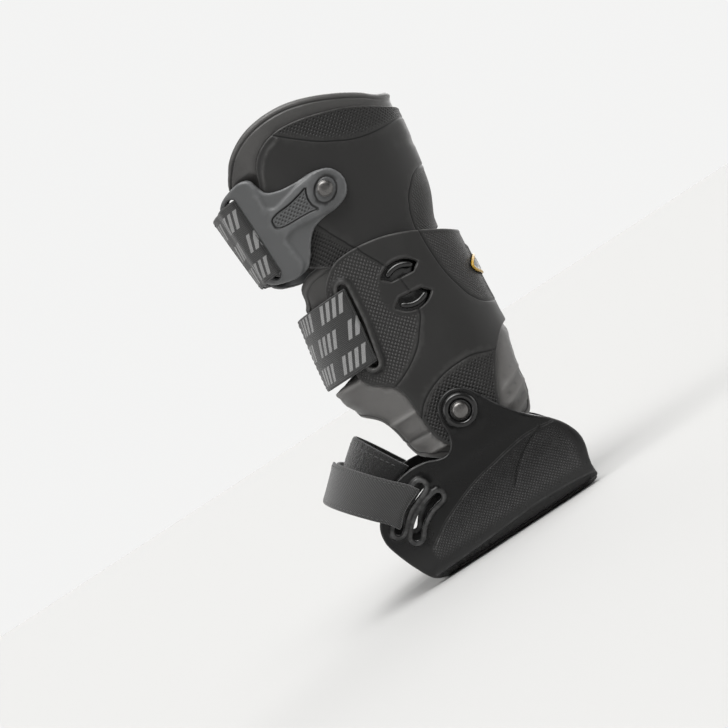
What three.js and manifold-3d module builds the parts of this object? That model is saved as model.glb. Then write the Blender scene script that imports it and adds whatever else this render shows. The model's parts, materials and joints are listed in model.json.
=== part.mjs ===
// An ankle foot orthosis: a heel stirrup, hinged to a wrap-round ankle cuff, with a calf cuff above it.
// Millimetres. +Z up the shin, -X to the toes, -Y the outer side, origin on the sole under the ankle axis.
import * as THREE from "three";
import { mergeVertices } from "three/addons/utils/BufferGeometryUtils.js";
import Module from "manifold-3d";

const wasm = await Module();
wasm.setup();

// Driving dimensions
const ANKLE = { x: 0, z: 73 }; // hinge axis of the stirrup
const HUB = { x: 12.5, z: 144.2, tilt: -6.5, radius: 15 }; // pivot of the calf cuff on the ankle cuff
const ARM = { x: 4, z: 210 }; // pivot of the strap arms on the calf cuff
const GAP = 0.35; // clearance between pieces that lie on each other
const SHELL = 2.2; // moulded shell wall
const FLAT = 47; // half width of the ankle cuff's flat cheeks
const CHEEK = 49.8; // outer half width of the stirrup's flat cheeks
const STIRRUP_WALL = 2.4;
const ANKLE_HOLES = { stirrup: 4.9, cuff: 3.1, pocket: 7.6, pocketFrom: 41.4 };
const ARM_HOLES = { through: 2.9, pocket: 7.6, pocketFrom: 43.5 };
const LINER = { ankle: 7.85, upper: 5.1, shin: 5.65 }; // foam thickness at the ankle, above it, at the shin
const STRAP = 1.6; // webbing thickness
const ROUND_STEPS = 32; // points round a cuff
const SPAN = 220; // length of a cutter right across the part

// Outer faces of the two cuff shells: height, front, rear, half width. Squareness is the superellipse power.
const SQUARENESS = 2.4;
const CALF = [
  [120, -40, 45, 43.6],
  [145, -42, 46, 44],
  [166, -46, 46.5, 44.2],
  [176, -50, 52, 44.4],
  [184, -52.6, 55.5, 45.2],
  [198, -53.6, 58.5, 46.8],
  [214, -54.4, 61.5, 48.6],
  [230, -55, 64, 50],
  [250, -56.5, 66, 51.5],
  [268, -57, 66.5, 52],
];
const CUFF = [
  [38, -36, 44, 39],
  [50, -41, 45, 44],
  [58, -43.5, 46, 47.5],
  [75, -46.5, 47.5, 48.5],
  [100, -51, 49.8, 48.5],
  [120, -52.5, 51.2, 48.5],
  [140, -49.5, 53.3, 48.5],
  [155, -46.5, 55, 48.8],
  [176, -43.5, 56.5, 49.8],
  [190, -43, 57, 50.4],
];

// Outer half width of the stirrup's walls against height, and how it narrows towards both ends
const STIRRUP_WIDTH = [
  [0, 27],
  [1.2, 30.5],
  [4, 34],
  [9, 36.8],
  [18, 39.4],
  [30, 43],
  [41, 47.6],
  [47, CHEEK],
  [100, CHEEK],
];
const STIRRUP_TAPER = [
  [-90, 0.9],
  [-72, 0.93],
  [-50, 0.98],
  [-30, 1],
  [24, 1],
  [36, 0.96],
  [48, 0.88],
  [60, 0.8],
];

const plastic = (color, roughness) => new THREE.MeshStandardMaterial({ color, roughness, metalness: 0 });
const MATERIALS = {
  cuffShell: plastic(0x2c2c2d, 0.45),
  stirrup: plastic(0x141415, 0.25),
  foam: plastic(0x353533, 0.6),
  arm: plastic(0x3f4143, 0.5),
  webbing: plastic(0x262627, 0.9),
  loop: plastic(0x1b1b1c, 1),
  rubber: plastic(0x18181a, 0.8),
  hub: plastic(0x101012, 0.2),
  metal: new THREE.MeshStandardMaterial({ color: 0x6d6c69, roughness: 0.35, metalness: 1 }),
};

const orthosis = new THREE.Group();

function add(name, shape, material) {
  const piece = new THREE.Mesh(geometryOf(shape), material);
  piece.name = name;
  orthosis.add(piece);
}

// Solids and geometry

function solid(geometry) {
  const bare = new THREE.BufferGeometry();
  bare.setAttribute("position", geometry.getAttribute("position"));
  bare.setIndex(geometry.getIndex());
  const merged = mergeVertices(bare, 1e-4);
  const mesh = new wasm.Mesh({
    numProp: 3,
    vertProperties: merged.getAttribute("position").array,
    triVerts: new Uint32Array(merged.getIndex().array),
  });
  return new wasm.Manifold(mesh);
}

function geometryOf(manifold) {
  const { vertProperties, triVerts } = manifold.getMesh();
  const geometry = new THREE.BufferGeometry();
  geometry.setAttribute("position", new THREE.BufferAttribute(vertProperties, 3));
  geometry.setIndex(new THREE.BufferAttribute(triVerts, 1));
  geometry.computeVertexNormals();
  return geometry;
}

// A closed solid through rings of equal length
function loft(rings) {
  const count = rings[0].length;
  const last = (rings.length - 1) * count;
  const index = [];
  for (let r = 0; r + 1 < rings.length; r++) {
    for (let i = 0; i < count; i++) {
      const a = r * count + i;
      const b = r * count + ((i + 1) % count);
      index.push(a, b, b + count, a, b + count, a + count);
    }
  }
  for (const [a, b, c] of stripCap(count)) index.push(c, b, a, last + a, last + b, last + c);
  const geometry = new THREE.BufferGeometry().setFromPoints(rings.flat());
  geometry.setIndex(index);
  const made = solid(geometry);
  return made.volume() > 0 ? made : solid(flipped(geometry));
}

// Triangles between the two long sides of a ring, from end to end: they suit convex rings and ribbons
function stripCap(count) {
  const triangles = [];
  for (let i = 0, j = count - 1; i + 1 < j; i++, j--) {
    triangles.push([i, i + 1, j]);
    if (i + 1 < j - 1) triangles.push([i + 1, j - 1, j]);
  }
  return triangles;
}

function flipped(geometry) {
  const turned = geometry.clone();
  turned.setIndex(Array.from(geometry.getIndex().array).reverse());
  return turned;
}

// Value of a table's column at a height or length, straight between its rows
function sample(table, at, column) {
  const i = table.findIndex((row) => row[0] >= at);
  if (i < 1) return (i < 0 ? table.at(-1) : table[0])[column];
  const [p, q] = [table[i - 1], table[i]];
  return THREE.MathUtils.mapLinear(at, p[0], q[0], p[column], q[column]);
}

// Cuff surfaces: a superellipse at each height, grown or shrunk by an offset

function cuffPoint(table, z, angle, grow = 0, limit = Infinity) {
  const [front, rear, half] = [1, 2, 3].map((column) => sample(table, z, column));
  const middle = (front + rear) / 2;
  const reach = (rear - front) / 2 + grow;
  const power = 2 / SQUARENESS;
  const [c, s] = [Math.cos(angle), Math.sin(angle)];
  const x = middle + reach * Math.sign(c) * Math.abs(c) ** power;
  const y = (half + grow) * Math.sign(s) * Math.abs(s) ** power;
  return new THREE.Vector3(x, THREE.MathUtils.clamp(y, -limit - grow, limit + grow), z);
}

// The angle at which a cuff surface reaches a given x, on the -Y side
function angleAt(table, z, x, grow = 0) {
  const [front, rear] = [1, 2].map((column) => sample(table, z, column));
  const reach = (rear - front) / 2 + grow;
  const share = THREE.MathUtils.clamp((x - (front + rear) / 2) / reach, -1, 1);
  return -Math.acos(Math.sign(share) * Math.abs(share) ** (SQUARENESS / 2));
}

function cuffBody(table, grow, bottom, top, limit = Infinity) {
  const between = table.map((row) => row[0]).filter((z) => z > bottom + 1 && z < top - 1);
  const rings = [];
  for (const z of [bottom, ...between, top]) {
    const ring = [];
    for (let i = 0; i < ROUND_STEPS; i++) {
      ring.push(cuffPoint(table, z, (2 * Math.PI * (i + 0.5)) / ROUND_STEPS, grow, limit));
    }
    rings.push(ring);
  }
  return loft(rings);
}

// The wall between two offsets of a cuff surface
function cuffWall(table, outer, inner, bottom, top, limit) {
  const hollow = cuffBody(table, inner, bottom - 1, top + 1, limit);
  return cuffBody(table, outer, bottom, top, limit).subtract(hollow);
}

// Side outlines, as [x, z] points, cut right across the part

function smooth(points, steps) {
  const curve = new THREE.CatmullRomCurve3(
    points.map(([x, z]) => new THREE.Vector3(x, z, 0)),
    true,
    "centripetal",
  );
  return curve.getPoints(steps).slice(0, -1);
}

function across(points) {
  const shape = new THREE.Shape(points.map((p) => new THREE.Vector2(p.x, p.y)));
  const geometry = new THREE.ExtrudeGeometry(shape, { depth: SPAN, bevelEnabled: false, curveSegments: 16 });
  geometry.rotateX(Math.PI / 2).translate(0, SPAN / 2, 0);
  return solid(geometry);
}

const outlined = (points, steps) => across(smooth(points, steps));

function block(x0, x1, y0, y1, z0, z1) {
  const box = new THREE.BoxGeometry(x1 - x0, y1 - y0, z1 - z0);
  box.translate((x0 + x1) / 2, (y0 + y1) / 2, (z0 + z1) / 2);
  return solid(box);
}

// A round bar along Y, between two distances from the middle, on the side given by sign
function rod(centre, radius, from, to, sign, sides = 16) {
  const bar = new THREE.CylinderGeometry(radius, radius, to - from, sides);
  bar.translate(centre.x, (sign * (from + to)) / 2, centre.z);
  return solid(bar);
}

// Cutter for the holes of both cheeks at an axis
const crossHole = (centre, radius) => rod(centre, radius, 40, 80, 1).add(rod(centre, radius, 40, 80, -1));

// A turned piece about an axis along Y: profile points are [radius, distance from the middle]
function turned(centre, profile, sign, sides = 16) {
  const lathe = new THREE.LatheGeometry(
    profile.map(([r, y]) => new THREE.Vector2(r, y)),
    sides,
  );
  if (sign < 0) lathe.rotateX(Math.PI);
  lathe.translate(centre.x, 0, centre.z);
  const made = solid(lathe);
  return made.volume() > 0 ? made : solid(flipped(lathe));
}

// A slot along a curve through three points, with pointed ends
function arcBand(points, width, steps = 10) {
  const curve = new THREE.CatmullRomCurve3(points.map(([x, z]) => new THREE.Vector3(x, z, 0)));
  const [left, right] = [[], []];
  for (let i = 0; i <= steps; i++) {
    const p = curve.getPoint(i / steps);
    const t = curve.getTangent(i / steps);
    left.push(new THREE.Vector3(p.x - (t.y * width) / 2, p.y + (t.x * width) / 2, 0));
    right.push(new THREE.Vector3(p.x + (t.y * width) / 2, p.y - (t.x * width) / 2, 0));
  }
  const nose = (u, sense) => curve.getPoint(u).addScaledVector(curve.getTangent(u), (sense * width) / 2);
  return across([nose(0, -1), ...left, nose(1, 1), ...right.reverse()]);
}

// A ribbon of webbing: path(s) gives its middle line at each station across its width
function ribbon(places, path, thickness = STRAP) {
  const rings = places.map((place) => {
    const { points, normals } = path(place);
    const side = (sense) =>
      points.map((p, i) => p.clone().addScaledVector(normals[i], (sense * thickness) / 2));
    return [...side(1), ...side(-1).reverse()];
  });
  return loft(rings);
}

// Normals of a path that lies in the plane square to width
function withNormals(points, width) {
  const normals = points.map((p, i) => {
    const before = points[Math.max(i - 1, 0)];
    const after = points[Math.min(i + 1, points.length - 1)];
    return after.clone().sub(before).cross(width).normalize();
  });
  return { points, normals };
}

const both = (make) => ["left", "right"].forEach((side, i) => make(side, i ? 1 : -1));
const halfSpace = (sign) => block(-90, 90, Math.min(0, sign * 90), Math.max(0, sign * 90), 0, 280);

// Evenly spaced values, both ends included
function stations(from, to, count) {
  return Array.from({ length: count }, (_, i) => from + ((to - from) * i) / (count - 1));
}

// Heel stirrup

function stirrupBody(grow, floor, x0, x1) {
  const heights = [0, 1.2, 4, 9, 18, 30, 41, 47, 100];
  const count = Math.ceil((x1 - x0) / 12);
  const rings = stations(x0, x1, count + 1).map((x) => {
    const taper = sample(STIRRUP_TAPER, x, 1);
    const half = (z) => sample(STIRRUP_WIDTH, z, 1) * taper + grow;
    const wall = heights.map((z) => new THREE.Vector3(x, half(z), z + floor));
    const mirror = wall.map((p) => new THREE.Vector3(p.x, -p.y, p.z)).reverse();
    return [...wall, ...mirror];
  });
  return loft(rings);
}

const STIRRUP_OUTLINE = [
  [-55, 0],
  [-60.5, 3.5],
  [-66, 14],
  [-70, 25],
  [-72, 34],
  [-70.5, 42],
  [-65.5, 49],
  [-58, 55],
  [-49, 59.5],
  [-39, 61],
  [-30, 60],
  [-24, 57.6],
  [-19, 57],
  [-15, 59.5],
  [-12.5, 65.5],
  [-12.2, 73],
  [-8.7, 81.6],
  [0, 85.2],
  [8.7, 81.6],
  [13.6, 74],
  [18.5, 65.5],
  [24.5, 57],
  [31.5, 49.5],
  [38.5, 43],
  [44, 35.5],
  [47.2, 27],
  [47, 20],
  [45, 13],
  [44, 7],
  [44.3, 2.5],
  [40, -1],
  [0, -1],
  [-40, -1],
];
const STRAP_SLOT = [
  [-62.5, 36.5],
  [-54, 44.5],
  [-40, 50.5],
];
const SPARE_SLOT = [
  [-56, 28.5],
  [-47.5, 36.5],
  [-35, 41],
];
const SLOT_WIDTH = 4.6;
const PAD_FRONT = -46; // the grip pad starts here and runs back to the heel
const PAD_DEPTH = 2;

const stirrupBlank = () => stirrupBody(0, 0, -88, 58).intersect(outlined(STIRRUP_OUTLINE, 60));

function stirrupShell() {
  const hollow = stirrupBody(-STIRRUP_WALL, PAD_DEPTH + STIRRUP_WALL, -92, 62);
  const pocket = block(PAD_FRONT - GAP, 60, -60, 60, -5, PAD_DEPTH + GAP);
  return stirrupBlank()
    .subtract(hollow)
    .subtract(pocket)
    .subtract(arcBand(STRAP_SLOT, SLOT_WIDTH))
    .subtract(arcBand(SPARE_SLOT, SLOT_WIDTH))
    .subtract(crossHole(ANKLE, ANKLE_HOLES.stirrup));
}

const gripPad = () => stirrupBlank().intersect(block(PAD_FRONT, 60, -60, 60, 0, PAD_DEPTH));

function footbed() {
  const bottom = PAD_DEPTH + STIRRUP_WALL + GAP;
  return stirrupBody(-STIRRUP_WALL - GAP, bottom, -52, 40).intersect(block(-90, 60, -60, 60, 0, bottom + 3));
}

// A flanged eyelet that lines the stirrup's hinge hole, with a rounded rim round the rivet head
function hingeBushing(sign) {
  const face = CHEEK + GAP;
  const profile = [
    [3.1, 47.6],
    [4.4, 47.6],
    [4.4, face],
    [9, face],
    [9, face + 1],
    [8.2, face + 2],
    [7, face + 2.4],
    [5.9, face + 1.9],
    [5.4, face + 0.8],
    [3.1, face + 0.8],
    [3.1, 47.6],
  ];
  return turned(ANKLE, profile, sign);
}

// A rivet: a domed head outside, a shank, and a flat tail
function rivet(centre, head, shank, domeAt, tailAt, sign) {
  const tail = head - 0.6;
  const profile = [
    [0, tailAt - 1],
    [tail, tailAt - 1],
    [tail, tailAt],
    [shank, tailAt],
    [shank, domeAt],
    [head, domeAt],
    [head, domeAt + 0.6],
    [head * 0.75, domeAt + 1.5],
    [head * 0.4, domeAt + 1.95],
    [0, domeAt + 2.1],
  ];
  return turned(centre, profile, sign);
}

function washer(centre, inner, outer, from, to, sign) {
  const profile = [
    [inner, from],
    [outer, from],
    [outer, to],
    [inner, to],
    [inner, from],
  ];
  return turned(centre, profile, sign, 20);
}

// Ankle cuff

const CUFF_OUTLINE = [
  [-26.5, 163.5],
  [-20, 171],
  [-12, 175],
  [0, 175.6],
  [15, 173],
  [25, 169.5],
  [34, 165.5],
  [45, 160],
  [55, 155],
  [72, 152],
  [76, 126],
  [72, 99.5],
  [56, 99.5],
  [49, 99],
  [44, 97],
  [38, 92],
  [33, 86.5],
  [28, 79.5],
  [23.5, 71.5],
  [19.5, 63],
  [12, 56],
  [0, 53],
  [-11, 56],
  [-17, 63],
  [-19.5, 71],
  [-20, 82],
  [-20.3, 93],
  [-22.5, 101],
  [-28, 105.5],
  [-33.5, 110],
  [-36.3, 117],
  [-35, 130],
  [-31.5, 146],
];
const CUFF_SLOT = [
  [-17.5, 161],
  [-19.5, 141],
  [-25, 117.5],
];
const WINDOW = { rim: 13.8, sill: 5, sillHalf: 6.5, from: 38, to: 142 };

// Half-moon window beside the hub: an arc above a short sill
function windowOutline(turn) {
  const points = [];
  for (const degrees of stations(WINDOW.from, WINDOW.to, 9)) {
    const a = THREE.MathUtils.degToRad(degrees);
    points.push([WINDOW.rim * Math.cos(a), WINDOW.rim * Math.sin(a)]);
  }
  points.push([-WINDOW.sillHalf, WINDOW.sill], [WINDOW.sillHalf, WINDOW.sill]);
  return points.map((p) => aboutHub(p, turn));
}

function aboutHub([x, z], turn) {
  const a = THREE.MathUtils.degToRad(turn + HUB.tilt);
  const [c, s] = [Math.cos(a), Math.sin(a)];
  return new THREE.Vector3(HUB.x + x * c - z * s, HUB.z + x * s + z * c, 0);
}

function cuffShell() {
  return cuffWall(CUFF, 0, -SHELL, 48, 182, FLAT)
    .intersect(outlined(CUFF_OUTLINE, 54))
    .subtract(arcBand(CUFF_SLOT, SLOT_WIDTH))
    .subtract(across(windowOutline(0)))
    .subtract(across(windowOutline(180)))
    .subtract(crossHole(ANKLE, ANKLE_HOLES.cuff));
}

const LINER_OUTLINE = [
  [-40.5, 165.5],
  [-35.5, 172.5],
  [-28, 176.4],
  [-18, 177.6],
  [0, 177.5],
  [12, 174],
  [23, 166.5],
  [34, 161.5],
  [50, 160],
  [72, 160],
  [74, 130],
  [72, 91],
  [52, 91],
  [48, 88.5],
  [45.5, 82],
  [43, 73],
  [41.5, 64],
  [38.5, 55.5],
  [34, 49],
  [26, 46.5],
  [8, 46],
  [-8, 47],
  [-20, 51.5],
  [-29, 57.5],
  [-34.5, 62.5],
  [-37, 71],
  [-38.3, 80],
  [-41.5, 88.5],
  [-48.5, 95],
  [-54.5, 101.5],
  [-60, 108],
  [-62, 118],
  [-58, 140],
  [-50, 158],
];
const LINER_OPENING = 15; // half width of the gap down the shin
const LINER_STEP = 117.5; // above this height the ankle liner draws in, behind the strap and the calf cuff

function cuffLiner() {
  const face = -SHELL - GAP;
  const upperFace = -SHELL - 1.1;
  const low = cuffWall(CUFF, face, face - LINER.ankle, 40, LINER_STEP, FLAT);
  const high = cuffWall(CALF, upperFace, upperFace - LINER.upper, LINER_STEP - 0.01, 181);
  return low
    .add(high)
    .intersect(outlined(LINER_OUTLINE, 44))
    .subtract(block(-80, 0, -LINER_OPENING, LINER_OPENING, 30, 190))
    .subtract(rivetPockets(ANKLE, ANKLE_HOLES));
}

// Room in a liner for the tails of the rivets at an axis
function rivetPockets(axis, { pocket, pocketFrom }) {
  return rod(axis, pocket, pocketFrom, 70, 1).add(rod(axis, pocket, pocketFrom, 70, -1));
}

// Calf cuff

const CALF_OUTLINE = [
  [-24, 233],
  [-20, 241],
  [-12, 247],
  [-3, 249.6],
  [8, 249.2],
  [25, 245.2],
  [40, 240],
  [50, 235],
  [58, 231],
  [64, 229],
  [80, 227],
  [82, 195],
  [78, 164],
  [52, 163],
  [40, 160],
  [32, 153],
  [29.5, 141],
  [23, 130.5],
  [12.5, 127],
  [2, 130.5],
  [-4.5, 140],
  [-7, 152],
  [-11, 164],
  [-17, 173],
  [-25, 179],
  [-28.5, 184],
  [-29, 205],
  [-27.5, 223],
];
const CALF_LINER_OUTLINE = [
  [-33, 183],
  [-34, 200],
  [-35, 218],
  [-40.5, 231],
  [-41.8, 238],
  [-36, 247],
  [-28, 253.8],
  [-18, 258.4],
  [-6, 260.6],
  [8, 260.2],
  [22, 256.8],
  [38, 250.4],
  [50, 244.4],
  [58, 239.8],
  [74, 238],
  [78, 210],
  [76, 168],
  [54, 168],
  [40, 170],
  [28, 175],
  [16, 180.5],
  [0, 182],
];

function calfShell() {
  return cuffWall(CALF, 0, -SHELL, 122, 256)
    .intersect(outlined(CALF_OUTLINE, 54))
    .subtract(crossHole(ARM, ARM_HOLES.through))
    .subtract(rod(HUB, HUB.radius + GAP, 36, 60, 1, 24))
    .subtract(rod(HUB, HUB.radius + GAP, 36, 60, -1, 24));
}

function calfLiner() {
  const strapRecess = cuffWall(CALF, 1, -5.2, 178, 237).intersect(block(-80, -24, -80, 80, 170, 240));
  const face = -SHELL - GAP;
  return cuffWall(CALF, face, face - LINER.shin, 176, 264)
    .intersect(outlined(CALF_LINER_OUTLINE, 44))
    .subtract(strapRecess)
    .subtract(rivetPockets(ARM, ARM_HOLES));
}

const HOOK = { rim: 12.6, root: 9.2, from: 48, to: 132 };

// Disc in the calf cuff's cheek that carries the two curved hooks
function lockHub(sign) {
  const disc = cuffWall(CALF, 0, -SHELL, 122, 166).intersect(rod(HUB, HUB.radius, 36, 60, sign, 24));
  const root = cuffBody(CALF, -0.6, 122, 166);
  const tip = cuffBody(CUFF, 0.9, 122, 166, FLAT);
  const hooks = across(hookOutline(0)).add(across(hookOutline(180)));
  return disc.add(hooks.intersect(tip).subtract(root).intersect(halfSpace(sign)));
}

function hookOutline(turn) {
  const at = (r, degrees) => {
    const a = THREE.MathUtils.degToRad(degrees);
    return aboutHub([r * Math.cos(a), r * Math.sin(a)], turn);
  };
  const angles = stations(HOOK.from, HOOK.to, 8);
  return [...angles.map((a) => at(HOOK.rim, a)), ...angles.reverse().map((a) => at(HOOK.root, a))];
}

// Strap arms: a lobe on the rivet, a bar, and a slotted frame for the calf strap

const ARM_OUTLINE = [
  [-46.8, 231.5],
  [-43.5, 235.5],
  [-37, 237.6],
  [-30.5, 238],
  [-26.6, 235.5],
  [-25, 230],
  [-23, 225.8],
  [-17, 223],
  [-8, 221.7],
  [4, 221.3],
  [12, 218],
  [15.3, 210],
  [12, 202],
  [4, 198.7],
  [-5, 198],
  [-12, 196],
  [-17.5, 190.5],
  [-21.5, 184.5],
  [-25.5, 180.6],
  [-31, 179.4],
  [-38, 181],
  [-44.5, 184.2],
  [-47, 188],
  [-47.3, 210],
];
const ARM_SLOT = [
  [-40.2, 187.6],
  [-40, 209],
  [-40.2, 231],
];
const ARM_SLOT_WIDTH = 5.4;
const ARM_LIFT = 0.9; // clear of the calf cuff, so that the arm can turn
const ARM_THICK = 3.4;
const ARM_BOSS = { radius: 9.6, from: 49.6, face: 53.6 };
const INLAY_OUTLINE = [
  [-28, 209],
  [-27, 206],
  [-24, 204.6],
  [-14, 204],
  [-5, 202.7],
  [-6.2, 209],
  [-5, 216.2],
  [-14, 214],
  [-24, 213.2],
  [-27, 212],
];
const INLAY_DEPTH = 1.2;
const INLAY_MIDDLE = { x: -16.5, z: 209.4 };

function strapArm(sign) {
  const face = ARM_LIFT + ARM_THICK;
  const boss = rod(ARM, ARM_BOSS.radius, ARM_BOSS.from, ARM_BOSS.face, sign);
  const recess = outlined(INLAY_OUTLINE, 24).subtract(cuffBody(CALF, face - INLAY_DEPTH - GAP, 196, 222));
  return cuffWall(CALF, face, ARM_LIFT, 174, 244)
    .intersect(outlined(ARM_OUTLINE, 48))
    .intersect(halfSpace(sign))
    .add(boss)
    .subtract(recess)
    .subtract(arcBand(ARM_SLOT, ARM_SLOT_WIDTH, 4))
    .subtract(rod(ARM, ARM_HOLES.through, 40, 80, sign));
}

function armInlay(sign) {
  const face = ARM_LIFT + ARM_THICK;
  const inset = INLAY_OUTLINE.map(([x, z]) => [
    INLAY_MIDDLE.x + (x - INLAY_MIDDLE.x) * 0.95,
    INLAY_MIDDLE.z + (z - INLAY_MIDDLE.z) * 0.9,
  ]);
  return cuffWall(CALF, face - 0.1, face - INLAY_DEPTH, 196, 222)
    .intersect(outlined(inset, 24))
    .intersect(halfSpace(sign));
}

const BACK_PLATE = { z: 133.5, tall: 6.2, half: 24 };

// Plain oval plate on the back of the ankle cuff
function backPlate() {
  const oval = new THREE.CylinderGeometry(1, 1, 30, 20);
  oval.rotateZ(Math.PI / 2).scale(1, BACK_PLATE.half, BACK_PLATE.tall).translate(50, 0, BACK_PLATE.z);
  return cuffWall(CUFF, GAP + 1.1, GAP, 110, 155, FLAT).intersect(solid(oval));
}

// Straps round the shin. Each comes up through the -Y slot of its frame, crosses the shin, goes out through
// the +Y slot and is sewn back on itself. Its loose end folds over the frame's -Y bar and fastens on it.

const CUFF_STRAP = {
  table: CUFF,
  limit: FLAT,
  low: 119.8,
  high: 159.5,
  slotX: (z) => -19.7 + (z - 141) * 0.15,
  barX: (z) => -25.5 + (z - 141) * 0.15,
  noseX: (z) => -35.8 + (z - 141) * 0.24,
  under: -3.45,
  over: 1.3,
  inner: -1,
  lie: 1.1,
  foldEnd: 0.45,
  tabEnd: 0.2,
};
const CALF_STRAP = {
  table: CALF,
  limit: Infinity,
  low: 188.5,
  high: 230,
  slotX: () => -40.1,
  barX: () => -45.3,
  noseX: () => -49.3,
  under: -1.2,
  over: ARM_LIFT + ARM_THICK + 1.2,
  inner: -1.2,
  lie: 0.9,
  foldEnd: 0.6,
  tabEnd: 0.2,
};
const UP = new THREE.Vector3(0, 0, 1);
const FOLD_GAP = 1.1; // from the fold line to the end of the webbing on either side of it

// The point of a strap's middle line at a given x, on the side given by sign
function strapPoint(strap, z, x, grow, sign) {
  return cuffPoint(strap.table, z, -sign * angleAt(strap.table, z, x, grow), grow, strap.limit);
}

// Webbing from the fold line over the front of the bar, and down on the strap. It ends at a share of the way
// from the bar's nose to the middle of the shin.
function overBar(strap, z, start, sign, end, count) {
  const xs = stations(start, strap.noseX(z), 4);
  const nose = -angleAt(strap.table, z, strap.noseX(z), strap.lie);
  const front = Math.PI - nose;
  const angles = stations(nose + front * 0.2, nose + front * end, count);
  return [
    ...xs.map((x) => strapPoint(strap, z, x, strap.over, sign)),
    ...angles.map((a) => cuffPoint(strap.table, z, sign * a, strap.lie, strap.limit)),
  ];
}

function strapPath(strap, z) {
  const { under, over, inner } = strap;
  const [slot, bar, front] = [strap.slotX(z), strap.barX(z), strap.noseX(z)];
  const nose = -angleAt(strap.table, z, front, inner);
  const rise = (Math.PI - nose) * 0.2;
  const angles = stations(-nose - rise, -2 * Math.PI + nose + rise, 11);
  const inside = (sign) => [
    strapPoint(strap, z, slot, (over + under) / 2, sign),
    ...[slot, (slot + front) / 2, front].map((x) => strapPoint(strap, z, x, under, sign)),
  ];
  const points = [
    strapPoint(strap, z, bar + FOLD_GAP, over, -1),
    strapPoint(strap, z, slot, over, -1),
    ...inside(-1),
    ...angles.map((a) => cuffPoint(strap.table, z, a, inner, strap.limit)),
    ...inside(1).reverse(),
    strapPoint(strap, z, slot, over, 1),
    ...overBar(strap, z, bar, 1, strap.foldEnd, 3),
  ];
  return withNormals(points, UP);
}

function tabPath(strap, z) {
  const past = 1 + strap.tabEnd;
  return withNormals(overBar(strap, z, strap.barX(z) - FOLD_GAP, -1, past, 8), UP);
}

const strapLevels = (strap) => stations(strap.low, strap.high, 4);
const shinStrap = (strap) => ribbon(strapLevels(strap), (z) => strapPath(strap, z));
const shinTab = (strap) => ribbon(strapLevels(strap), (z) => tabPath(strap, z));

// Instep strap, threaded the same way through the stirrup's front slots

const RIDGE = [
  [-70, 84],
  [-89, 66.5],
]; // where the strap crosses the top of the foot, from its rear edge to its front one
const INSTEP_LIFT = 2.2; // from the strap to the end that lies on it
const ARCH_POWER = 0.8;
const slotPoints = STRAP_SLOT.map(([x, z]) => new THREE.Vector3(x, 0, z));
const slotCurve = new THREE.CatmullRomCurve3(slotPoints.reverse());
const OUT_OF_SLOT = new THREE.Vector3(-0.52, 0, 0.85); // from the slot over its bar
const ACROSS_INSTEP = new THREE.Vector3(-0.85, 0, -0.52);
const OFF_INSTEP = new THREE.Vector3(-0.68, 0, 0.73);

const stirrupHalf = (x, z, grow) => sample(STIRRUP_WIDTH, z, 1) * sample(STIRRUP_TAPER, x, 1) + grow;

// Points of an arch from a foot at (base, y) on one side to the ridge and down the other, between two angles
function arch(base, y, ridge, from, to, count) {
  return stations(from, to, count).map((degrees) => {
    const a = THREE.MathUtils.degToRad(degrees);
    const rise = Math.abs(Math.sin(a)) ** ARCH_POWER;
    const spread = Math.sign(Math.cos(a)) * Math.abs(Math.cos(a)) ** ARCH_POWER;
    return base.clone().lerp(ridge, rise).setY(-y * spread);
  });
}

const ridgeAt = (share, lift) => along(RIDGE, share).addScaledVector(OFF_INSTEP, lift);

const BAR_MIDDLE = 4.4; // from the slot to the middle of the bar in front of it
const overRim = (bar) => stirrupHalf(bar.x, bar.z + 4, GAP + 1.4);

function instepPath(share) {
  const slot = slotCurve.getPoint(share);
  const bar = slot.clone().addScaledVector(OUT_OF_SLOT, BAR_MIDDLE);
  const outside = overRim(bar);
  const inside = stirrupHalf(slot.x, slot.z - PAD_DEPTH - STIRRUP_WALL, -STIRRUP_WALL - GAP - 1);
  const at = (y, out) => slot.clone().addScaledVector(OUT_OF_SLOT, out).setY(y);
  const points = [
    at(-outside, BAR_MIDDLE - FOLD_GAP),
    at(-outside, 0),
    at(-(outside + inside) / 2, 0),
    at(-inside, 0),
    ...arch(slot, inside - 0.6, ridgeAt(share, 0), 14, 166, 13),
    at(inside, 0),
    at((outside + inside) / 2, 0),
    at(outside, 0),
    at(outside, BAR_MIDDLE),
    ...arch(bar, outside, ridgeAt(share, INSTEP_LIFT), 165, 135, 3),
  ];
  return withNormals(points, ACROSS_INSTEP);
}

function instepTabPath(share) {
  const slot = slotCurve.getPoint(share);
  const bar = slot.clone().addScaledVector(OUT_OF_SLOT, BAR_MIDDLE);
  const outside = overRim(bar);
  const start = slot.clone().addScaledVector(OUT_OF_SLOT, BAR_MIDDLE + FOLD_GAP).setY(-outside);
  return withNormals([start, ...arch(bar, outside, ridgeAt(share, INSTEP_LIFT), 10, 97, 11)], ACROSS_INSTEP);
}

const acrossBand = stations(0.05, 0.95, 4);
const instepStrap = () => ribbon(acrossBand, instepPath);
const instepTab = () => ribbon(acrossBand, instepTabPath);

// Padded tongue under the instep strap. Its foot and ridge lines run from the rear edge to the front one.
const TONGUE = {
  foot: [
    [-39, 62],
    [-53, 57],
  ],
  ridge: [
    [-56, 88.5],
    [-72, 76],
  ],
  half: 33,
  thick: 2.6,
};

function along([rear, front], share) {
  const [x, z] = [0, 1].map((i) => THREE.MathUtils.lerp(rear[i], front[i], share));
  return new THREE.Vector3(x, 0, z);
}

function tonguePath(share) {
  const points = arch(along(TONGUE.foot, share), TONGUE.half, along(TONGUE.ridge, share), 0, 180, 17);
  return withNormals(points, ACROSS_INSTEP);
}

const instepTongue = () => ribbon(stations(0, 1, 3), tonguePath, TONGUE.thick);

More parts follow.
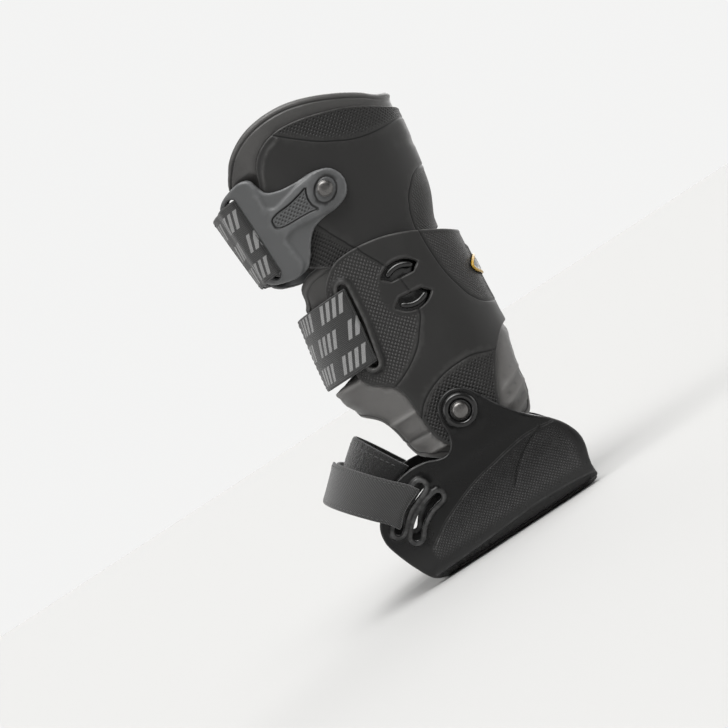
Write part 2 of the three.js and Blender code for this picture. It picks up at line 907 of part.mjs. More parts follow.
add("heel_stirrup_shell", stirrupShell(), MATERIALS.stirrup);
add("sole_grip_pad", gripPad(), MATERIALS.rubber);
add("footbed_pad", footbed(), MATERIALS.foam);
add("instep_strap", instepStrap(), MATERIALS.webbing);
add("instep_strap_tab", instepTab(), MATERIALS.webbing);
add("instep_tongue", instepTongue(), MATERIALS.loop);
add("ankle_cuff_shell", cuffShell(), MATERIALS.cuffShell);
add("ankle_cuff_liner", cuffLiner(), MATERIALS.foam);
add("ankle_cuff_back_plate", backPlate(), MATERIALS.rubber);
add("ankle_strap", shinStrap(CUFF_STRAP), MATERIALS.webbing);
add("ankle_strap_tab", shinTab(CUFF_STRAP), MATERIALS.webbing);
add("calf_cuff_shell", calfShell(), MATERIALS.cuffShell);
add("calf_cuff_liner", calfLiner(), MATERIALS.foam);
add("calf_strap", shinStrap(CALF_STRAP), MATERIALS.webbing);
add("calf_strap_tab", shinTab(CALF_STRAP), MATERIALS.webbing);
both((side, sign) => {
  const bushingFace = CHEEK + GAP + 0.8;
  add(`hinge_bushing_${side}`, hingeBushing(sign), MATERIALS.hub);
  add(`hinge_rivet_${side}`, rivet(ANKLE, 4.6, 2.6, bushingFace + GAP, 42.8, sign), MATERIALS.metal);
  add(`hinge_washer_${side}`, washer(ANKLE, 3, 6.5, 43.15, 44.4, sign), MATERIALS.metal);
  add(`lock_hub_${side}`, lockHub(sign), MATERIALS.hub);
  add(`strap_arm_${side}`, strapArm(sign), MATERIALS.arm);
  add(`arm_inlay_${side}`, armInlay(sign), MATERIALS.rubber);
  add(`arm_rivet_${side}`, rivet(ARM, 4.8, 2.6, ARM_BOSS.face + GAP, 45, sign), MATERIALS.metal);
});

export default orthosis;
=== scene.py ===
"""The looks of an ankle foot orthosis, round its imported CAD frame, in millimetres until a mesh is made."""

import json
import math

import bmesh
import bpy
import numpy as np
from mathutils import Matrix, Vector
from mathutils.geometry import delaunay_2d_cdt
from mathutils.kdtree import KDTree


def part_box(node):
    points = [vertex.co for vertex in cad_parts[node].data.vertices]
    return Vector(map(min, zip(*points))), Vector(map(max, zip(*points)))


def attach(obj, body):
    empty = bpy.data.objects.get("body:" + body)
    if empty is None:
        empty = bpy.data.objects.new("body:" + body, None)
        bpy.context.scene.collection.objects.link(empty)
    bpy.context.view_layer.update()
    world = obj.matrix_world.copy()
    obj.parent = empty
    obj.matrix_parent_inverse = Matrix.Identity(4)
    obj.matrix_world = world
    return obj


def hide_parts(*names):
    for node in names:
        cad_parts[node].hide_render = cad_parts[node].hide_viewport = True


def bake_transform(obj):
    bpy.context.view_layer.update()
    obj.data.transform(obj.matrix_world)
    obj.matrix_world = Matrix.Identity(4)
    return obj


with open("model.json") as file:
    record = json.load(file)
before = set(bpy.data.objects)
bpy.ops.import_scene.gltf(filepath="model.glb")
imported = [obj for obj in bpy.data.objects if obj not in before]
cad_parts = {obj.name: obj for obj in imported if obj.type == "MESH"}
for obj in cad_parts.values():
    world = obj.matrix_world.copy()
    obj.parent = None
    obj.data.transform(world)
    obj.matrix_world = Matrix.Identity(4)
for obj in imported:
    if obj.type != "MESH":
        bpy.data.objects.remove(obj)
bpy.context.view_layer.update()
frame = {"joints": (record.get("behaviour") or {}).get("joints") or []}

MM = 0.001
JOINTS = {joint["name"]: np.array(joint["pos_m"]) for joint in frame["joints"]}
PIVOTS = ("ankle_hinge", "calf_cuff_pivot", "strap_arm_pivot")
ANKLE, HUB, ARM = [JOINTS[name][[0, 2]] / MM for name in PIVOTS]  # x and z
LEFT, RIGHT = -1, 1  # the outer side, -Y, and the inner side

SHELL = 2.2  # moulded wall of the cuffs
STIRRUP_WALL = 2.4
STRAP = 1.6  # webbing
FLAT = 47.0  # half width of the ankle cuff's flat cheeks
CHEEK = 49.8  # outer face of the stirrup's ears
GAP = 0.35  # air between an ear, its eyelet and the rivet's head
SQUARENESS = 2.4  # power of the cuffs' sections, where 2 is an ellipse
STEP = 0.5  # spacing of the surfaces' grids round the body
TINY = 1e-6  # points closer than this meet
HUB_RADIUS, HUB_HOLE = 15, 15.35  # the lock hub's disc, and the hole for it in the calf cuff
ARM_HOLE, CUFF_HOLE, EAR_HOLE = 2.9, 3.1, 4.9  # for the arm's rivet, and for the ankle hinge
DOTTED = 0.3  # how far a dotted panel is set in
# Outer and inner faces of the pads, from the outer face of the cuff over them
LOW_PAD, HIGH_PAD, CALF_PAD = (-2.6, -10.2), (-3.4, -8.4), (-2.6, -8.2)

# Outer faces of the two cuffs: height, front, rear, half width
CALF_TABLE = [
    (120, -40, 45, 43.6), (145, -42, 46, 44), (166, -46, 46.5, 44.2), (176, -50, 52, 44.4),
    (184, -52.6, 55.5, 45.2), (198, -53.6, 58.5, 46.8), (214, -54.4, 61.5, 48.6), (230, -55, 64, 50),
    (250, -56.5, 66, 51.5), (268, -57, 66.5, 52),
]
CUFF_TABLE = [
    (38, -36, 44, 39), (50, -41, 45, 44), (58, -43.5, 46, 47.5), (75, -46.5, 47.5, 48.5),
    (100, -51, 49.8, 48.5), (120, -52.5, 51.2, 48.5), (140, -49.5, 53.3, 48.5), (155, -46.5, 55, 48.8),
    (176, -43.5, 56.5, 49.8), (190, -43, 57, 50.4),
]
# The stirrup's section, as half width and height, and how it narrows towards both ends
STIRRUP_SECTION = [
    (0, 0), (27, 0), (30.5, 1.2), (34, 4), (36.8, 9), (39.4, 18), (43, 30), (47.6, 41), (49.8, 47),
    (49.8, 100),
]
STIRRUP_TAPER = [(-90, 0.9), (-72, 0.93), (-50, 0.98), (-30, 1), (24, 1), (36, 0.96), (48, 0.88), (60, 0.8)]


# ---------------------------------------------------------------- curves

def catmull(points, closed=False, per=10):
    """A centripetal Catmull-Rom curve through points of any dimension."""
    p = np.asarray(points, float)
    if closed:
        q = np.vstack([p[-1:], p, p[:2]])
    else:
        q = np.vstack([2 * p[:1] - p[1:2], p, 2 * p[-1:] - p[-2:-1]])
    gap = np.sqrt(np.maximum(np.linalg.norm(np.diff(q, axis=0), axis=1), 1e-6))
    t = np.linspace(0, 1, per, endpoint=False)[:, None]
    out = []
    for i in range(1, len(q) - 2):
        a, b, c = gap[i - 1:i + 2]
        start = ((q[i] - q[i - 1]) / a - (q[i + 1] - q[i - 1]) / (a + b) + (q[i + 1] - q[i]) / b) * b
        end = ((q[i + 1] - q[i]) / b - (q[i + 2] - q[i]) / (b + c) + (q[i + 2] - q[i + 1]) / c) * b
        out.append(
            (2 * t**3 - 3 * t**2 + 1) * q[i] + (t**3 - 2 * t**2 + t) * start
            + (3 * t**2 - 2 * t**3) * q[i + 1] + (t**3 - t**2) * end
        )
    if not closed:
        out.append(q[-2:-1])
    return np.vstack(out)


def gaps(points, axis=0):
    """Distances between neighbouring points."""
    return np.linalg.norm(np.diff(points, axis=axis), axis=-1)


def running(steps):
    """How far along each point is, given the steps between them."""
    return np.concatenate([[0], np.cumsum(steps)])


def unit(vectors):
    return vectors / np.maximum(np.linalg.norm(vectors, axis=-1, keepdims=True), 1e-9)


def even(points, step=None, count=None, closed=False):
    """The same curve with evenly spaced points."""
    points = np.vstack([points, points[:1]]) if closed else np.asarray(points, float)
    run = running(gaps(points))
    at = np.linspace(0, run[-1], count or max(2, round(run[-1] / step) + 1))
    out = np.stack([np.interp(at, run, column) for column in points.T], 1)
    return out[:-1] if closed else out


def smooth(points, step=1.0, closed=False):
    """An even, smooth curve through a few points."""
    return even(catmull(points, closed=closed), step=step, closed=closed)


def smooth_table(table, at, width):
    """Columns of a table at even places, with its corners rounded over a width."""
    table = np.asarray(table, float)
    pad = np.concatenate([at[0] - np.arange(width, 0, -1), at, at[-1] + np.arange(1, width + 1)])
    kernel = np.ones(width + 1) / (width + 1)
    columns = []
    for column in table.T[1:]:
        values = np.interp(pad, table[:, 0], column)
        columns.append(np.convolve(values, kernel, "valid")[width // 2:width // 2 + len(at)])
    return np.stack(columns, 1)


def ease(t):
    t = np.clip(t, 0, 1)
    return t * t * (3 - 2 * t)


def ridge(distance, centre, width, height=1, core=1):
    """A rounded ridge that follows an edge, at a distance from it. Its top is flat where core is over 1."""
    return height * ease(core - np.abs(distance - centre) / width)


def bead(distance, centre, width, height):
    """A half-round bead that follows an edge, at a distance from it."""
    return height * np.sqrt(np.clip(1 - ((distance - centre) / width) ** 2, 0, 1))


def fillet(distance, radius):
    """How far a rounded edge drops at a distance inside it."""
    d = np.clip(distance, 0, radius)
    return np.sqrt(np.maximum(radius**2 - (radius - d) ** 2, 0)) - radius


def quarter_round(distance, radius):
    """From 0 at an edge to 1 at a radius inside it, as a quarter circle."""
    d = np.clip(distance / radius, 0, 1)
    return np.sqrt(np.maximum(1 - (1 - d) ** 2, 0))


def bilinear(grid, i, j):
    """Values of a grid at places between its points."""
    a, b = np.minimum(i.astype(int), len(grid) - 2), np.minimum(j.astype(int), grid.shape[1] - 2)
    s, t = (i - a)[:, None], (j - b)[:, None]
    low = grid[a, b] * (1 - t) + grid[a, b + 1] * t
    high = grid[a + 1, b] * (1 - t) + grid[a + 1, b + 1] * t
    return low * (1 - s) + high * s


# ---------------------------------------------------------------- surfaces

class Surface:
    """A smooth surface on a grid: u is a length round it, from its middle line, and v runs along it."""

    def __init__(self, v, points):
        self.v, self.points = v, points
        self.normals = unit(np.cross(np.gradient(points, axis=0), np.gradient(points, axis=1)))

    def at(self, u, v, lift=0.0):
        """Points on the -Y half of the surface, lifted along its normal."""
        i = np.clip(v - self.v[0], 0, len(self.v) - 1.001)
        j = np.clip(u / STEP, 0, self.points.shape[1] - 1.001)
        return bilinear(self.points, i, j) + bilinear(self.normals, i, j) * np.reshape(lift, (-1, 1))


class Cuff(Surface):
    """A cuff's outer face: u starts at the middle of the back, and v is the height."""

    def __init__(self, table, limit=np.inf):
        v = np.arange(30.0, 276.0)
        turn = np.linspace(0, 3 * math.pi, 2161)
        once_round = 1440
        x_share, y_share = [np.sign(c) * np.abs(c) ** (2 / SQUARENESS) for c in (np.cos(turn), np.sin(turn))]
        u = np.arange(0, 420, STEP)
        rows, full = [], []
        for front, rear, half in smooth_table(table, v, 10):
            x = (front + rear) / 2 + (rear - front) / 2 * x_share
            y = np.clip(-half * y_share, -limit, limit)
            run = running(np.hypot(np.diff(x), np.diff(y)))
            full.append(run[once_round])
            rows.append(np.stack([np.interp(u, run, x), np.interp(u, run, y)], 1))
        heights = np.broadcast_to(v[:, None, None], (len(v), len(u), 1))
        super().__init__(v, np.concatenate([rows, heights], 2))
        self.full = np.array(full)

    def u_of(self, x, z, y_stop=None):
        """The length from the middle of the back to x on the -Y half, or to where |y| comes in to y_stop."""
        level = int(np.clip(round(z - self.v[0]), 0, len(self.v) - 1))
        last = int(self.full[level] / 2 / STEP)
        xs, ys = self.points[level, :last, 0], self.points[level, :last, 1]
        if x > xs[0]:
            return float(xs[0] - x)
        u = float(np.interp(-x, -xs, np.arange(last) * STEP))
        if y_stop is not None:
            front = np.arange(last)[(xs < 0) & (ys > -y_stop)]
            if len(front):
                u = min(u, front[0] * STEP)
        return u

    def unroll(self, line, y_stop=None):
        """Side-view points as (u, v). What lies past the middle line gets a negative u."""
        return np.array([[self.u_of(x, z, y_stop), z] for x, z in line])


WALL_START = 54  # the point of the stirrup's section where its wall starts


class Stirrup(Surface):
    """The stirrup's outer face: u starts at the middle of the sole and goes up the wall, and v is x."""

    def __init__(self):
        v = np.arange(-92.0, 64.0)
        taper = smooth_table(STIRRUP_TAPER, v, 10)[:, 0]
        section = even(STIRRUP_SECTION, step=STEP)
        past_start = section[:1] - section[5:0:-1] * [1, -1] + section[:1]
        past_end = section[-1:] + (section[-1:] - section[-6:-1])[::-1]
        kernel = np.ones(11) / 11
        columns = np.vstack([past_start, section, past_end]).T
        section = even(np.stack([np.convolve(c, kernel, "valid") for c in columns], 1), step=STEP)
        self.section = section
        grid = np.empty((len(v), len(section), 3))
        grid[..., 0] = v[:, None]
        grid[..., 1] = -section[None, :, 0] * taper[:, None]
        grid[..., 2] = section[None, :, 1]
        super().__init__(v, grid)

    def unroll(self, line):
        """Side-view points of the wall as (u, v)."""
        first = WALL_START + 2
        z = self.section[first:, 1]
        u = (np.arange(len(z)) + first) * STEP
        return np.array([[float(np.interp(h, z, u)), x] for x, h in line])

    def height(self, u):
        return np.interp(u, np.arange(len(self.section)) * STEP, self.section[:, 1])

    def half_width(self, x, z):
        """Half width of the wall's outside."""
        wall = self.section[WALL_START:]
        return np.interp(z, wall[:, 1], wall[:, 0]) * np.interp(x, *np.array(STIRRUP_TAPER).T)


calf, cuff, stirrup = Cuff(CALF_TABLE), Cuff(CUFF_TABLE, FLAT), Stirrup()


# ---------------------------------------------------------------- plane regions

def segments(line, closed=True):
    line = np.asarray(line, float)
    ends = np.roll(line, -1, 0) if closed else line[1:]
    starts = line if closed else line[:-1]
    return np.stack([starts, ends], 1)


def off_seam(pairs):
    """Segments that aren't on the middle line, where a piece joins its mirror image."""
    return pairs[~((pairs[:, 0, 0] < TINY) & (pairs[:, 1, 0] < TINY))]


def near(points, pairs):
    """The distance from each point to the nearest of some segments."""
    best = np.full(len(points), 1e3)
    if not len(pairs):
        return best
    a, d = pairs[:, 0], pairs[:, 1] - pairs[:, 0]
    square = np.maximum((d * d).sum(1), 1e-12)
    for i in range(0, len(points), 3000):
        p = points[i:i + 3000, None] - a
        t = np.clip((p * d).sum(2) / square, 0, 1)
        best[i:i + 3000] = np.sqrt(((p - t[..., None] * d) ** 2).sum(2)).min(1)
    return best


def within(points, loop):
    inside = np.zeros(len(points), bool)
    for (ax, ay), (bx, by) in segments(loop):
        if ay == by:
            continue
        crosses = (ay > points[:, 1]) != (by > points[:, 1])
        inside ^= crosses & (points[:, 0] < ax + (points[:, 1] - ay) * (bx - ax) / (by - ay))
    return inside


def signed(points, loop):
    """Distance to a loop, positive inside it."""
    d = near(points, off_seam(segments(loop)))
    return np.where(within(points, loop), d, -d)


def panel(points, loop, soft=1.2):
    """1 inside a loop and 0 outside it, with a soft change."""
    return ease(signed(points, loop) / soft - 0.6)


def wound(loop, left=True):
    """A loop that turns left, or right."""
    x, y = loop.T
    area = (x * np.roll(y, -1) - y * np.roll(x, -1)).sum() / 2
    return loop if (area > 0) == left else loop[::-1]


def clip_seam(loop):
    """The part of a loop with u above 0."""
    out = []
    for a, b in zip(loop, np.roll(loop, -1, 0)):
        if a[0] >= 0:
            out.append(a)
        if (a[0] >= 0) != (b[0] >= 0):
            cut = a + (b - a) * (a[0] / (a[0] - b[0]))
            out.append(np.array([0.0, cut[1]]))
    return np.array(out)


def moved(line, distance, closed=True):
    """A line moved to its left."""
    tangent = np.roll(line, -1, 0) - np.roll(line, 1, 0) if closed else np.gradient(line, axis=0)
    tangent = unit(tangent)
    return line + distance * np.stack([-tangent[:, 1], tangent[:, 0]], 1)


BESIDE_CREASE = (-1.3, -0.7, 0, 0.7, 1.3)  # lines of points, in widths of the crease
ROW_HEIGHT = 0.866  # of a triangle with even sides, in sides


class Region:
    """A stretch of a surface, with its triangles: close-set along edges and creases, and open between."""

    def __init__(self, outline, holes=(), creases=(), spacing=2.6, edge=1.1, rings=(0.25, 0.6, 1.1, 1.8)):
        loops = [wound(outline), *(wound(hole, False) for hole in holes)]
        loops = self.loops = [self._even_loop(loop, edge) for loop in loops]
        every = np.concatenate([segments(loop) for loop in loops])
        fixed = np.vstack(loops)
        extra = []  # points along the edges, and beside the creases
        for loop in loops:
            for ring in rings:
                line = moved(loop, ring)
                extra.append(line[(near(line, every) > 0.93 * ring) & self._inside(line)])
        for line, width in creases:
            line = even(np.asarray(line), step=1.2)
            for share in BESIDE_CREASE:
                side = moved(line, share * width, closed=False)
                extra.append(side[(near(side, every) > 0.35) & self._inside(side)])
        extra = self._thin(np.vstack(extra), cell=0.28)
        low, high = fixed.min(0), fixed.max(0)
        columns = np.arange(low[0] + 0.01, high[0], spacing)
        rows = np.arange(low[1], high[1], spacing * ROW_HEIGHT)
        grid = np.array([[x + (k % 2) * spacing / 2, y] for k, y in enumerate(rows) for x in columns])
        grid = grid[self._inside(grid)]
        grid = grid[near(grid, every) > 0.5 * spacing]
        tree = KDTree(len(extra))
        for i, p in enumerate(extra):
            tree.insert((p[0], p[1], 0), i)
        tree.balance()
        grid = np.array([p for p in grid if tree.find((p[0], p[1], 0))[2] > 0.62 * spacing]).reshape(-1, 2)
        points = np.vstack([fixed, extra, grid])
        edges, start = [], 0
        for loop in loops:
            count = len(loop)
            edges += [(start + i, start + (i + 1) % count) for i in range(count)]
            start += count
        made = delaunay_2d_cdt([Vector(p) for p in points], edges, [], 0, 1e-6, False)
        self.points = np.array([[p[0], p[1]] for p in made[0]])
        faces = np.array([f for f in made[2] if len(f) == 3])
        self.faces = faces[self._inside(self.points[faces].mean(1))]
        used = np.unique(self.faces)
        index = np.full(len(self.points), -1)
        index[used] = np.arange(len(used))
        self.points, self.faces = self.points[used], index[self.faces]
        self.edge = near(self.points, off_seam(every))

    @staticmethod
    def _even_loop(loop, edge):
        out = []
        for a, b in segments(loop):
            gap = np.linalg.norm(b - a)
            if gap < 0.3 * edge and a[0] > TINY:
                continue
            parts = max(1, round(gap / edge))
            out += [a + (b - a) * k / parts for k in range(parts)]
        return np.array(out)

    def _inside(self, points):
        if not len(points):
            return np.zeros(0, bool)
        ok = within(points, self.loops[0])
        for hole in self.loops[1:]:
            ok &= ~within(points, hole)
        return ok

    @staticmethod
    def _thin(points, cell):
        _, keep = np.unique(np.round(points / cell).astype(int), axis=0, return_index=True)
        return points[np.sort(keep)]

    def to(self, *lines, closed=False):
        """The distance from each point to the nearest of some lines."""
        return np.min([near(self.points, segments(line, closed)) for line in lines], axis=0)


def side_loop(surface, points, **stop):
    """A side-view outline, smoothed and unrolled onto a surface."""
    return surface.unroll(smooth(points, 0.8, closed=True), **stop)


def band(points, width):
    """Outline of a slot that follows a curve, with round ends, in side-view points."""
    line = smooth(points)
    left, right = moved(line, width / 2, closed=False), moved(line, -width / 2, closed=False)
    ends = []
    for point, along in ((line[-1], line[-1] - line[-2]), (line[0], line[0] - line[1])):
        angles = math.atan2(along[1], along[0]) + np.radians([60, 30, 0, -30, -60])
        ends.append(point + width / 2 * np.stack([np.cos(angles), np.sin(angles)], 1))
    return np.vstack([left, ends[0], right[::-1], ends[1]])


# ---------------------------------------------------------------- meshes

def link_up(item):
    """Puts an object in the scene."""
    bpy.context.scene.collection.objects.link(item)
    return item


def make(name, vertices, faces, material, uv, **weights):
    """A mesh object from points in millimetres, with a UV of real lengths in metres and named weights."""
    mesh = bpy.data.meshes.new(name)
    mesh.from_pydata((np.asarray(vertices) * MM).tolist(), [], [tuple(int(i) for i in f) for f in faces])
    mesh.validate()
    layer = mesh.uv_layers.new(name="lengths")
    corner = np.empty(len(mesh.loops), int)
    mesh.loops.foreach_get("vertex_index", corner)
    layer.data.foreach_set("uv", (np.asarray(uv)[corner] * MM).astype(np.float32).ravel())
    for key, value in weights.items():
        attribute = mesh.attributes.new(key, "FLOAT", "POINT")
        attribute.data.foreach_set("value", np.asarray(value, np.float32))
    face_outward(mesh)
    for polygon in mesh.polygons:
        polygon.use_smooth = True
    mesh.materials.append(material)
    return link_up(bpy.data.objects.new(name, mesh))


def face_outward(mesh, weld=None):
    """Turns a mesh's faces outward, after joining points closer than a distance in metres."""
    work = bmesh.new()
    work.from_mesh(mesh)
    if weld:
        bmesh.ops.remove_doubles(work, verts=work.verts, dist=weld)
    bmesh.ops.recalc_face_normals(work, faces=work.faces)
    work.to_mesh(mesh)
    work.free()


def place(piece, body, slot, *nodes):
    """Puts a piece on its body and hides the CAD nodes that it stands for."""
    if body:
        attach(piece, body)
    if nodes:
        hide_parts(*nodes)


def wall(name, region, outer, inner, material, side=None, **weights):
    """A closed wall over a region, between two faces. With no side given, it joins its mirror image."""
    count = len(region.points)
    faces = [tuple(f) for f in region.faces]
    uses = {}
    for a, b, c in faces:
        for p, q in ((a, b), (b, c), (c, a)):
            link = (min(p, q), max(p, q))
            uses[link] = uses.get(link, 0) + 1
    seam = region.points[:, 0] < TINY
    rim = [
        (p, q, q + count, p + count) for (p, q), times in uses.items()
        if times == 1 and not (seam[p] and seam[q] and side is None)
    ]
    faces += [(c + count, b + count, a + count) for a, b, c in faces] + rim
    vertices = np.vstack([outer, inner])
    uv = np.vstack([region.points, region.points])
    weights = {key: np.concatenate([value, value]) for key, value in weights.items()}
    if side is None:
        return joined_halves(name, vertices, faces, np.tile(seam, 2), material, uv, weights)
    return make(name, mirrored(vertices, side), faces, material, uv, **weights)


def mirrored(vertices, side):
    """Points made for the left side, on either side."""
    return vertices * [1, -side, 1]


def joined_halves(name, vertices, faces, seam, material, uv, weights):
    """A half and its mirror image in Y, sharing the vertices on the middle line."""
    count = len(vertices)
    vertices = vertices.copy()
    vertices[seam, 1] = 0
    twin = np.where(seam, np.arange(count), 0)
    twin[~seam] = count + np.arange((~seam).sum())
    every = np.vstack([vertices, mirrored(vertices[~seam], RIGHT)])
    faces = faces + [tuple(int(twin[i]) for i in f[::-1]) for f in faces]
    uv = np.vstack([uv, uv[~seam] * [-1, 1]])
    weights = {key: np.concatenate([value, value[~seam]]) for key, value in weights.items()}
    return make(name, every, faces, material, uv, **weights)


def tube(rings, sides, start=0):
    """Faces between neighbouring rings of points."""
    firsts = range(start, start + (rings - 1) * sides, sides)
    pairs = [(first + k, first + (k + 1) % sides) for first in firsts for k in range(sides)]
    return [(a, b, b + sides, a + sides) for a, b in pairs]


def turned(name, centre, profile, side, material, sides=64):
    """A turned piece about an axis along Y: profile points are radius and distance from the middle."""
    profile = np.asarray(profile, float)
    vertices, uv = [], []
    for (radius, out), along in zip(profile, running(gaps(profile))):
        for k in range(sides):
            a = 2 * math.pi * k / sides
            vertices.append((centre[0] + radius * math.cos(a), side * out, centre[1] + radius * math.sin(a)))
            uv.append((radius * math.cos(a), radius * math.sin(a) + along * 0.01))
    faces = tube(len(profile), sides)
    count = len(vertices)
    if gaps(profile[[0, -1]])[0] > TINY:
        faces += [tuple(range(sides)), tuple(range(count - sides, count))[::-1]]
    else:
        count -= sides
        faces = [tuple(i % count for i in f) for f in faces]
    return make(name, vertices[:count], faces, material, uv[:count])


def rounded(profile, radius=0.35, steps=3):
    """A turned profile with its corners rounded, its two ends kept."""
    profile = [np.array(p, float) for p in profile]
    out = [profile[0]]
    for before, corner, after in zip(profile, profile[1:], profile[2:]):
        a, b = before - corner, after - corner
        reach = min(radius, 0.45 * np.linalg.norm(a), 0.45 * np.linalg.norm(b))
        start = corner + a / np.linalg.norm(a) * reach
        end = corner + b / np.linalg.norm(b) * reach
        for t in np.linspace(0, 1, steps + 1):
            out.append((1 - t) ** 2 * start + 2 * t * (1 - t) * corner + t**2 * end)
    out.append(profile[-1])
    return out


class Sheet:
    """The middle sheet of a band: rows[i, j] has i across it and j along it."""

    def __init__(self, rows):
        self.rows = rows
        self.normal = unit(np.cross(np.gradient(rows, axis=1), np.gradient(rows, axis=0)))
        self.width = running(gaps(rows).mean(1))
        self.length = running(gaps(rows, axis=1).mean(0))


def webbing(name, rows, material, thickness=STRAP, bulge=0.0):
    """A band of webbing with rounded selvedges and ends, and its sheet."""
    sheet = Sheet(rows)
    width, length = sheet.width, sheet.length
    edge = np.minimum.outer(np.minimum(width, width[-1] - width), np.minimum(length, length[-1] - length))
    thick = thickness / 2 * quarter_round(edge, thickness / 2)
    centre = bulge * np.sin(math.pi * width / width[-1])[:, None]
    top = rows + sheet.normal * (thick + centre)[..., None]
    bottom = rows - sheet.normal * (thick - centre)[..., None]
    n, m = rows.shape[:2]
    vertices = np.vstack([top.reshape(-1, 3), bottom.reshape(-1, 3)])
    faces = [(k, k + 1, k + m + 1, k + m) for i in range(n - 1) for k in range(i * m, i * m + m - 1)]
    faces += [tuple(k + n * m for k in f[::-1]) for f in faces]
    uv = np.stack(np.meshgrid(length, width), 2).reshape(-1, 2)
    piece = make(name, vertices, faces, material, np.vstack([uv, uv]))
    face_outward(piece.data, weld=1e-6)
    return piece, sheet


# ---------------------------------------------------------------- materials

class Nodes:
    """Short ways to add nodes to a tree."""

    def __init__(self, tree):
        self.tree = tree

    def feed(self, socket, value):
        if isinstance(value, bpy.types.NodeSocket):
            self.tree.links.new(value, socket)
        elif value is not None:
            socket.default_value = value

    def node(self, kind, inputs=(), **settings):
        """Adds a node. Its inputs are a dict by name, or values in order."""
        node = self.tree.nodes.new("ShaderNode" + kind)
        for key, value in settings.items():
            setattr(node, key, value)
        for key, value in inputs.items() if isinstance(inputs, dict) else enumerate(inputs):
            self.feed(node.inputs[key], value)
        return node

    def math(self, operation, *values):
        return self.node("Math", values, operation=operation).outputs[0]

    def times(self, a, b):
        return self.math("MULTIPLY", a, b)

    def between(self, value, low, high, to_low=0.0, to_high=1.0):
        """A smooth step."""
        inputs = (value, low, high, to_low, to_high)
        return self.node("MapRange", inputs, interpolation_type="SMOOTHSTEP").outputs[0]


class Paint(Nodes):
    """A material. Lengths in its patterns are millimetres."""

    def __init__(self, name, color, roughness, metallic=0.0, **fixed):
        self.material = bpy.data.materials.new(name)
        self.material.use_nodes = True
        super().__init__(self.material.node_tree)
        self.shader = self.tree.nodes["Principled BSDF"]
        self.shader.inputs["Base Color"].default_value = (*color, 1)
        self.shader.inputs["Roughness"].default_value = roughness
        self.shader.inputs["Metallic"].default_value = metallic
        for key, value in fixed.items():
            self.shader.inputs[key.replace("_", " ")].default_value = value
        self.material.diffuse_color = (*color, 1)
        self.normal = None

    def scaled(self, vector, scale):
        return self.node("VectorMath", {"Vector": vector, "Scale": scale}, operation="SCALE").outputs[0]

    def lengths(self):
        return self.scaled(self.node("UVMap", uv_map="lengths").outputs["UV"], 1 / MM)

    def space(self):
        return self.scaled(self.node("TexCoord").outputs["Object"], 1 / MM)

    def stretched(self, vector, x=1.0, y=1.0, z=1.0, turn=0.0):
        inputs = {"Vector": vector, "Scale": (x, y, z), "Rotation": (0, 0, turn)}
        return self.node("Mapping", inputs).outputs[0]

    def noise(self, vector, size, detail=3.0, roughness=0.5):
        inputs = {"Vector": vector, "Scale": 1 / size, "Detail": detail, "Roughness": roughness}
        return self.node("TexNoise", inputs).outputs["Fac"]

    def cells(self, vector, size, randomness=0.0):
        inputs = {"Vector": vector, "Scale": 1 / size, "Randomness": randomness}
        return self.node("TexVoronoi", inputs, voronoi_dimensions="2D").outputs["Distance"]

    def wave(self, vector, size, direction="X", distortion=0.0):
        inputs = {"Vector": vector, "Scale": WAVE_SCALE / size, "Distortion": distortion}
        return self.node("TexWave", inputs, bands_direction=direction).outputs["Fac"]

    def weight(self, name):
        return self.node("Attribute", attribute_name=name).outputs["Fac"]

    def mix(self, share, a, b):
        node = self.node("Mix", data_type="RGBA")
        for index, value in zip(MIX_SOCKETS, (share, a, b)):
            self.feed(node.inputs[index], (*value, 1) if isinstance(value, tuple) else value)
        return node.outputs[2]

    def bump(self, height, depth):
        """Adds a bump of that depth, in millimetres, for a height from 0 to 1."""
        inputs = {"Height": height, "Distance": depth * MM, "Strength": 1.0, "Normal": self.normal}
        self.normal = self.node("Bump", inputs).outputs[0]
        return self

    def done(self, color=None, roughness=None):
        self.feed(self.shader.inputs["Base Color"], color)
        self.feed(self.shader.inputs["Roughness"], roughness)
        self.feed(self.shader.inputs["Normal"], self.normal)
        return self.material


def grey(value, warm=0.0):
    return (value * (1 + warm), value, value * (1 - warm))


WAVE_SCALE = 0.3142  # scale at which a wave texture repeats once per unit
MIX_SOCKETS = (0, 6, 7)  # a colour mix's share and its two colours
COARSE, FINE = 1.8, 1.5  # spacing of the dots in the moulded panels
DIAGONAL = 0.785  # turn of a pattern that runs aslant


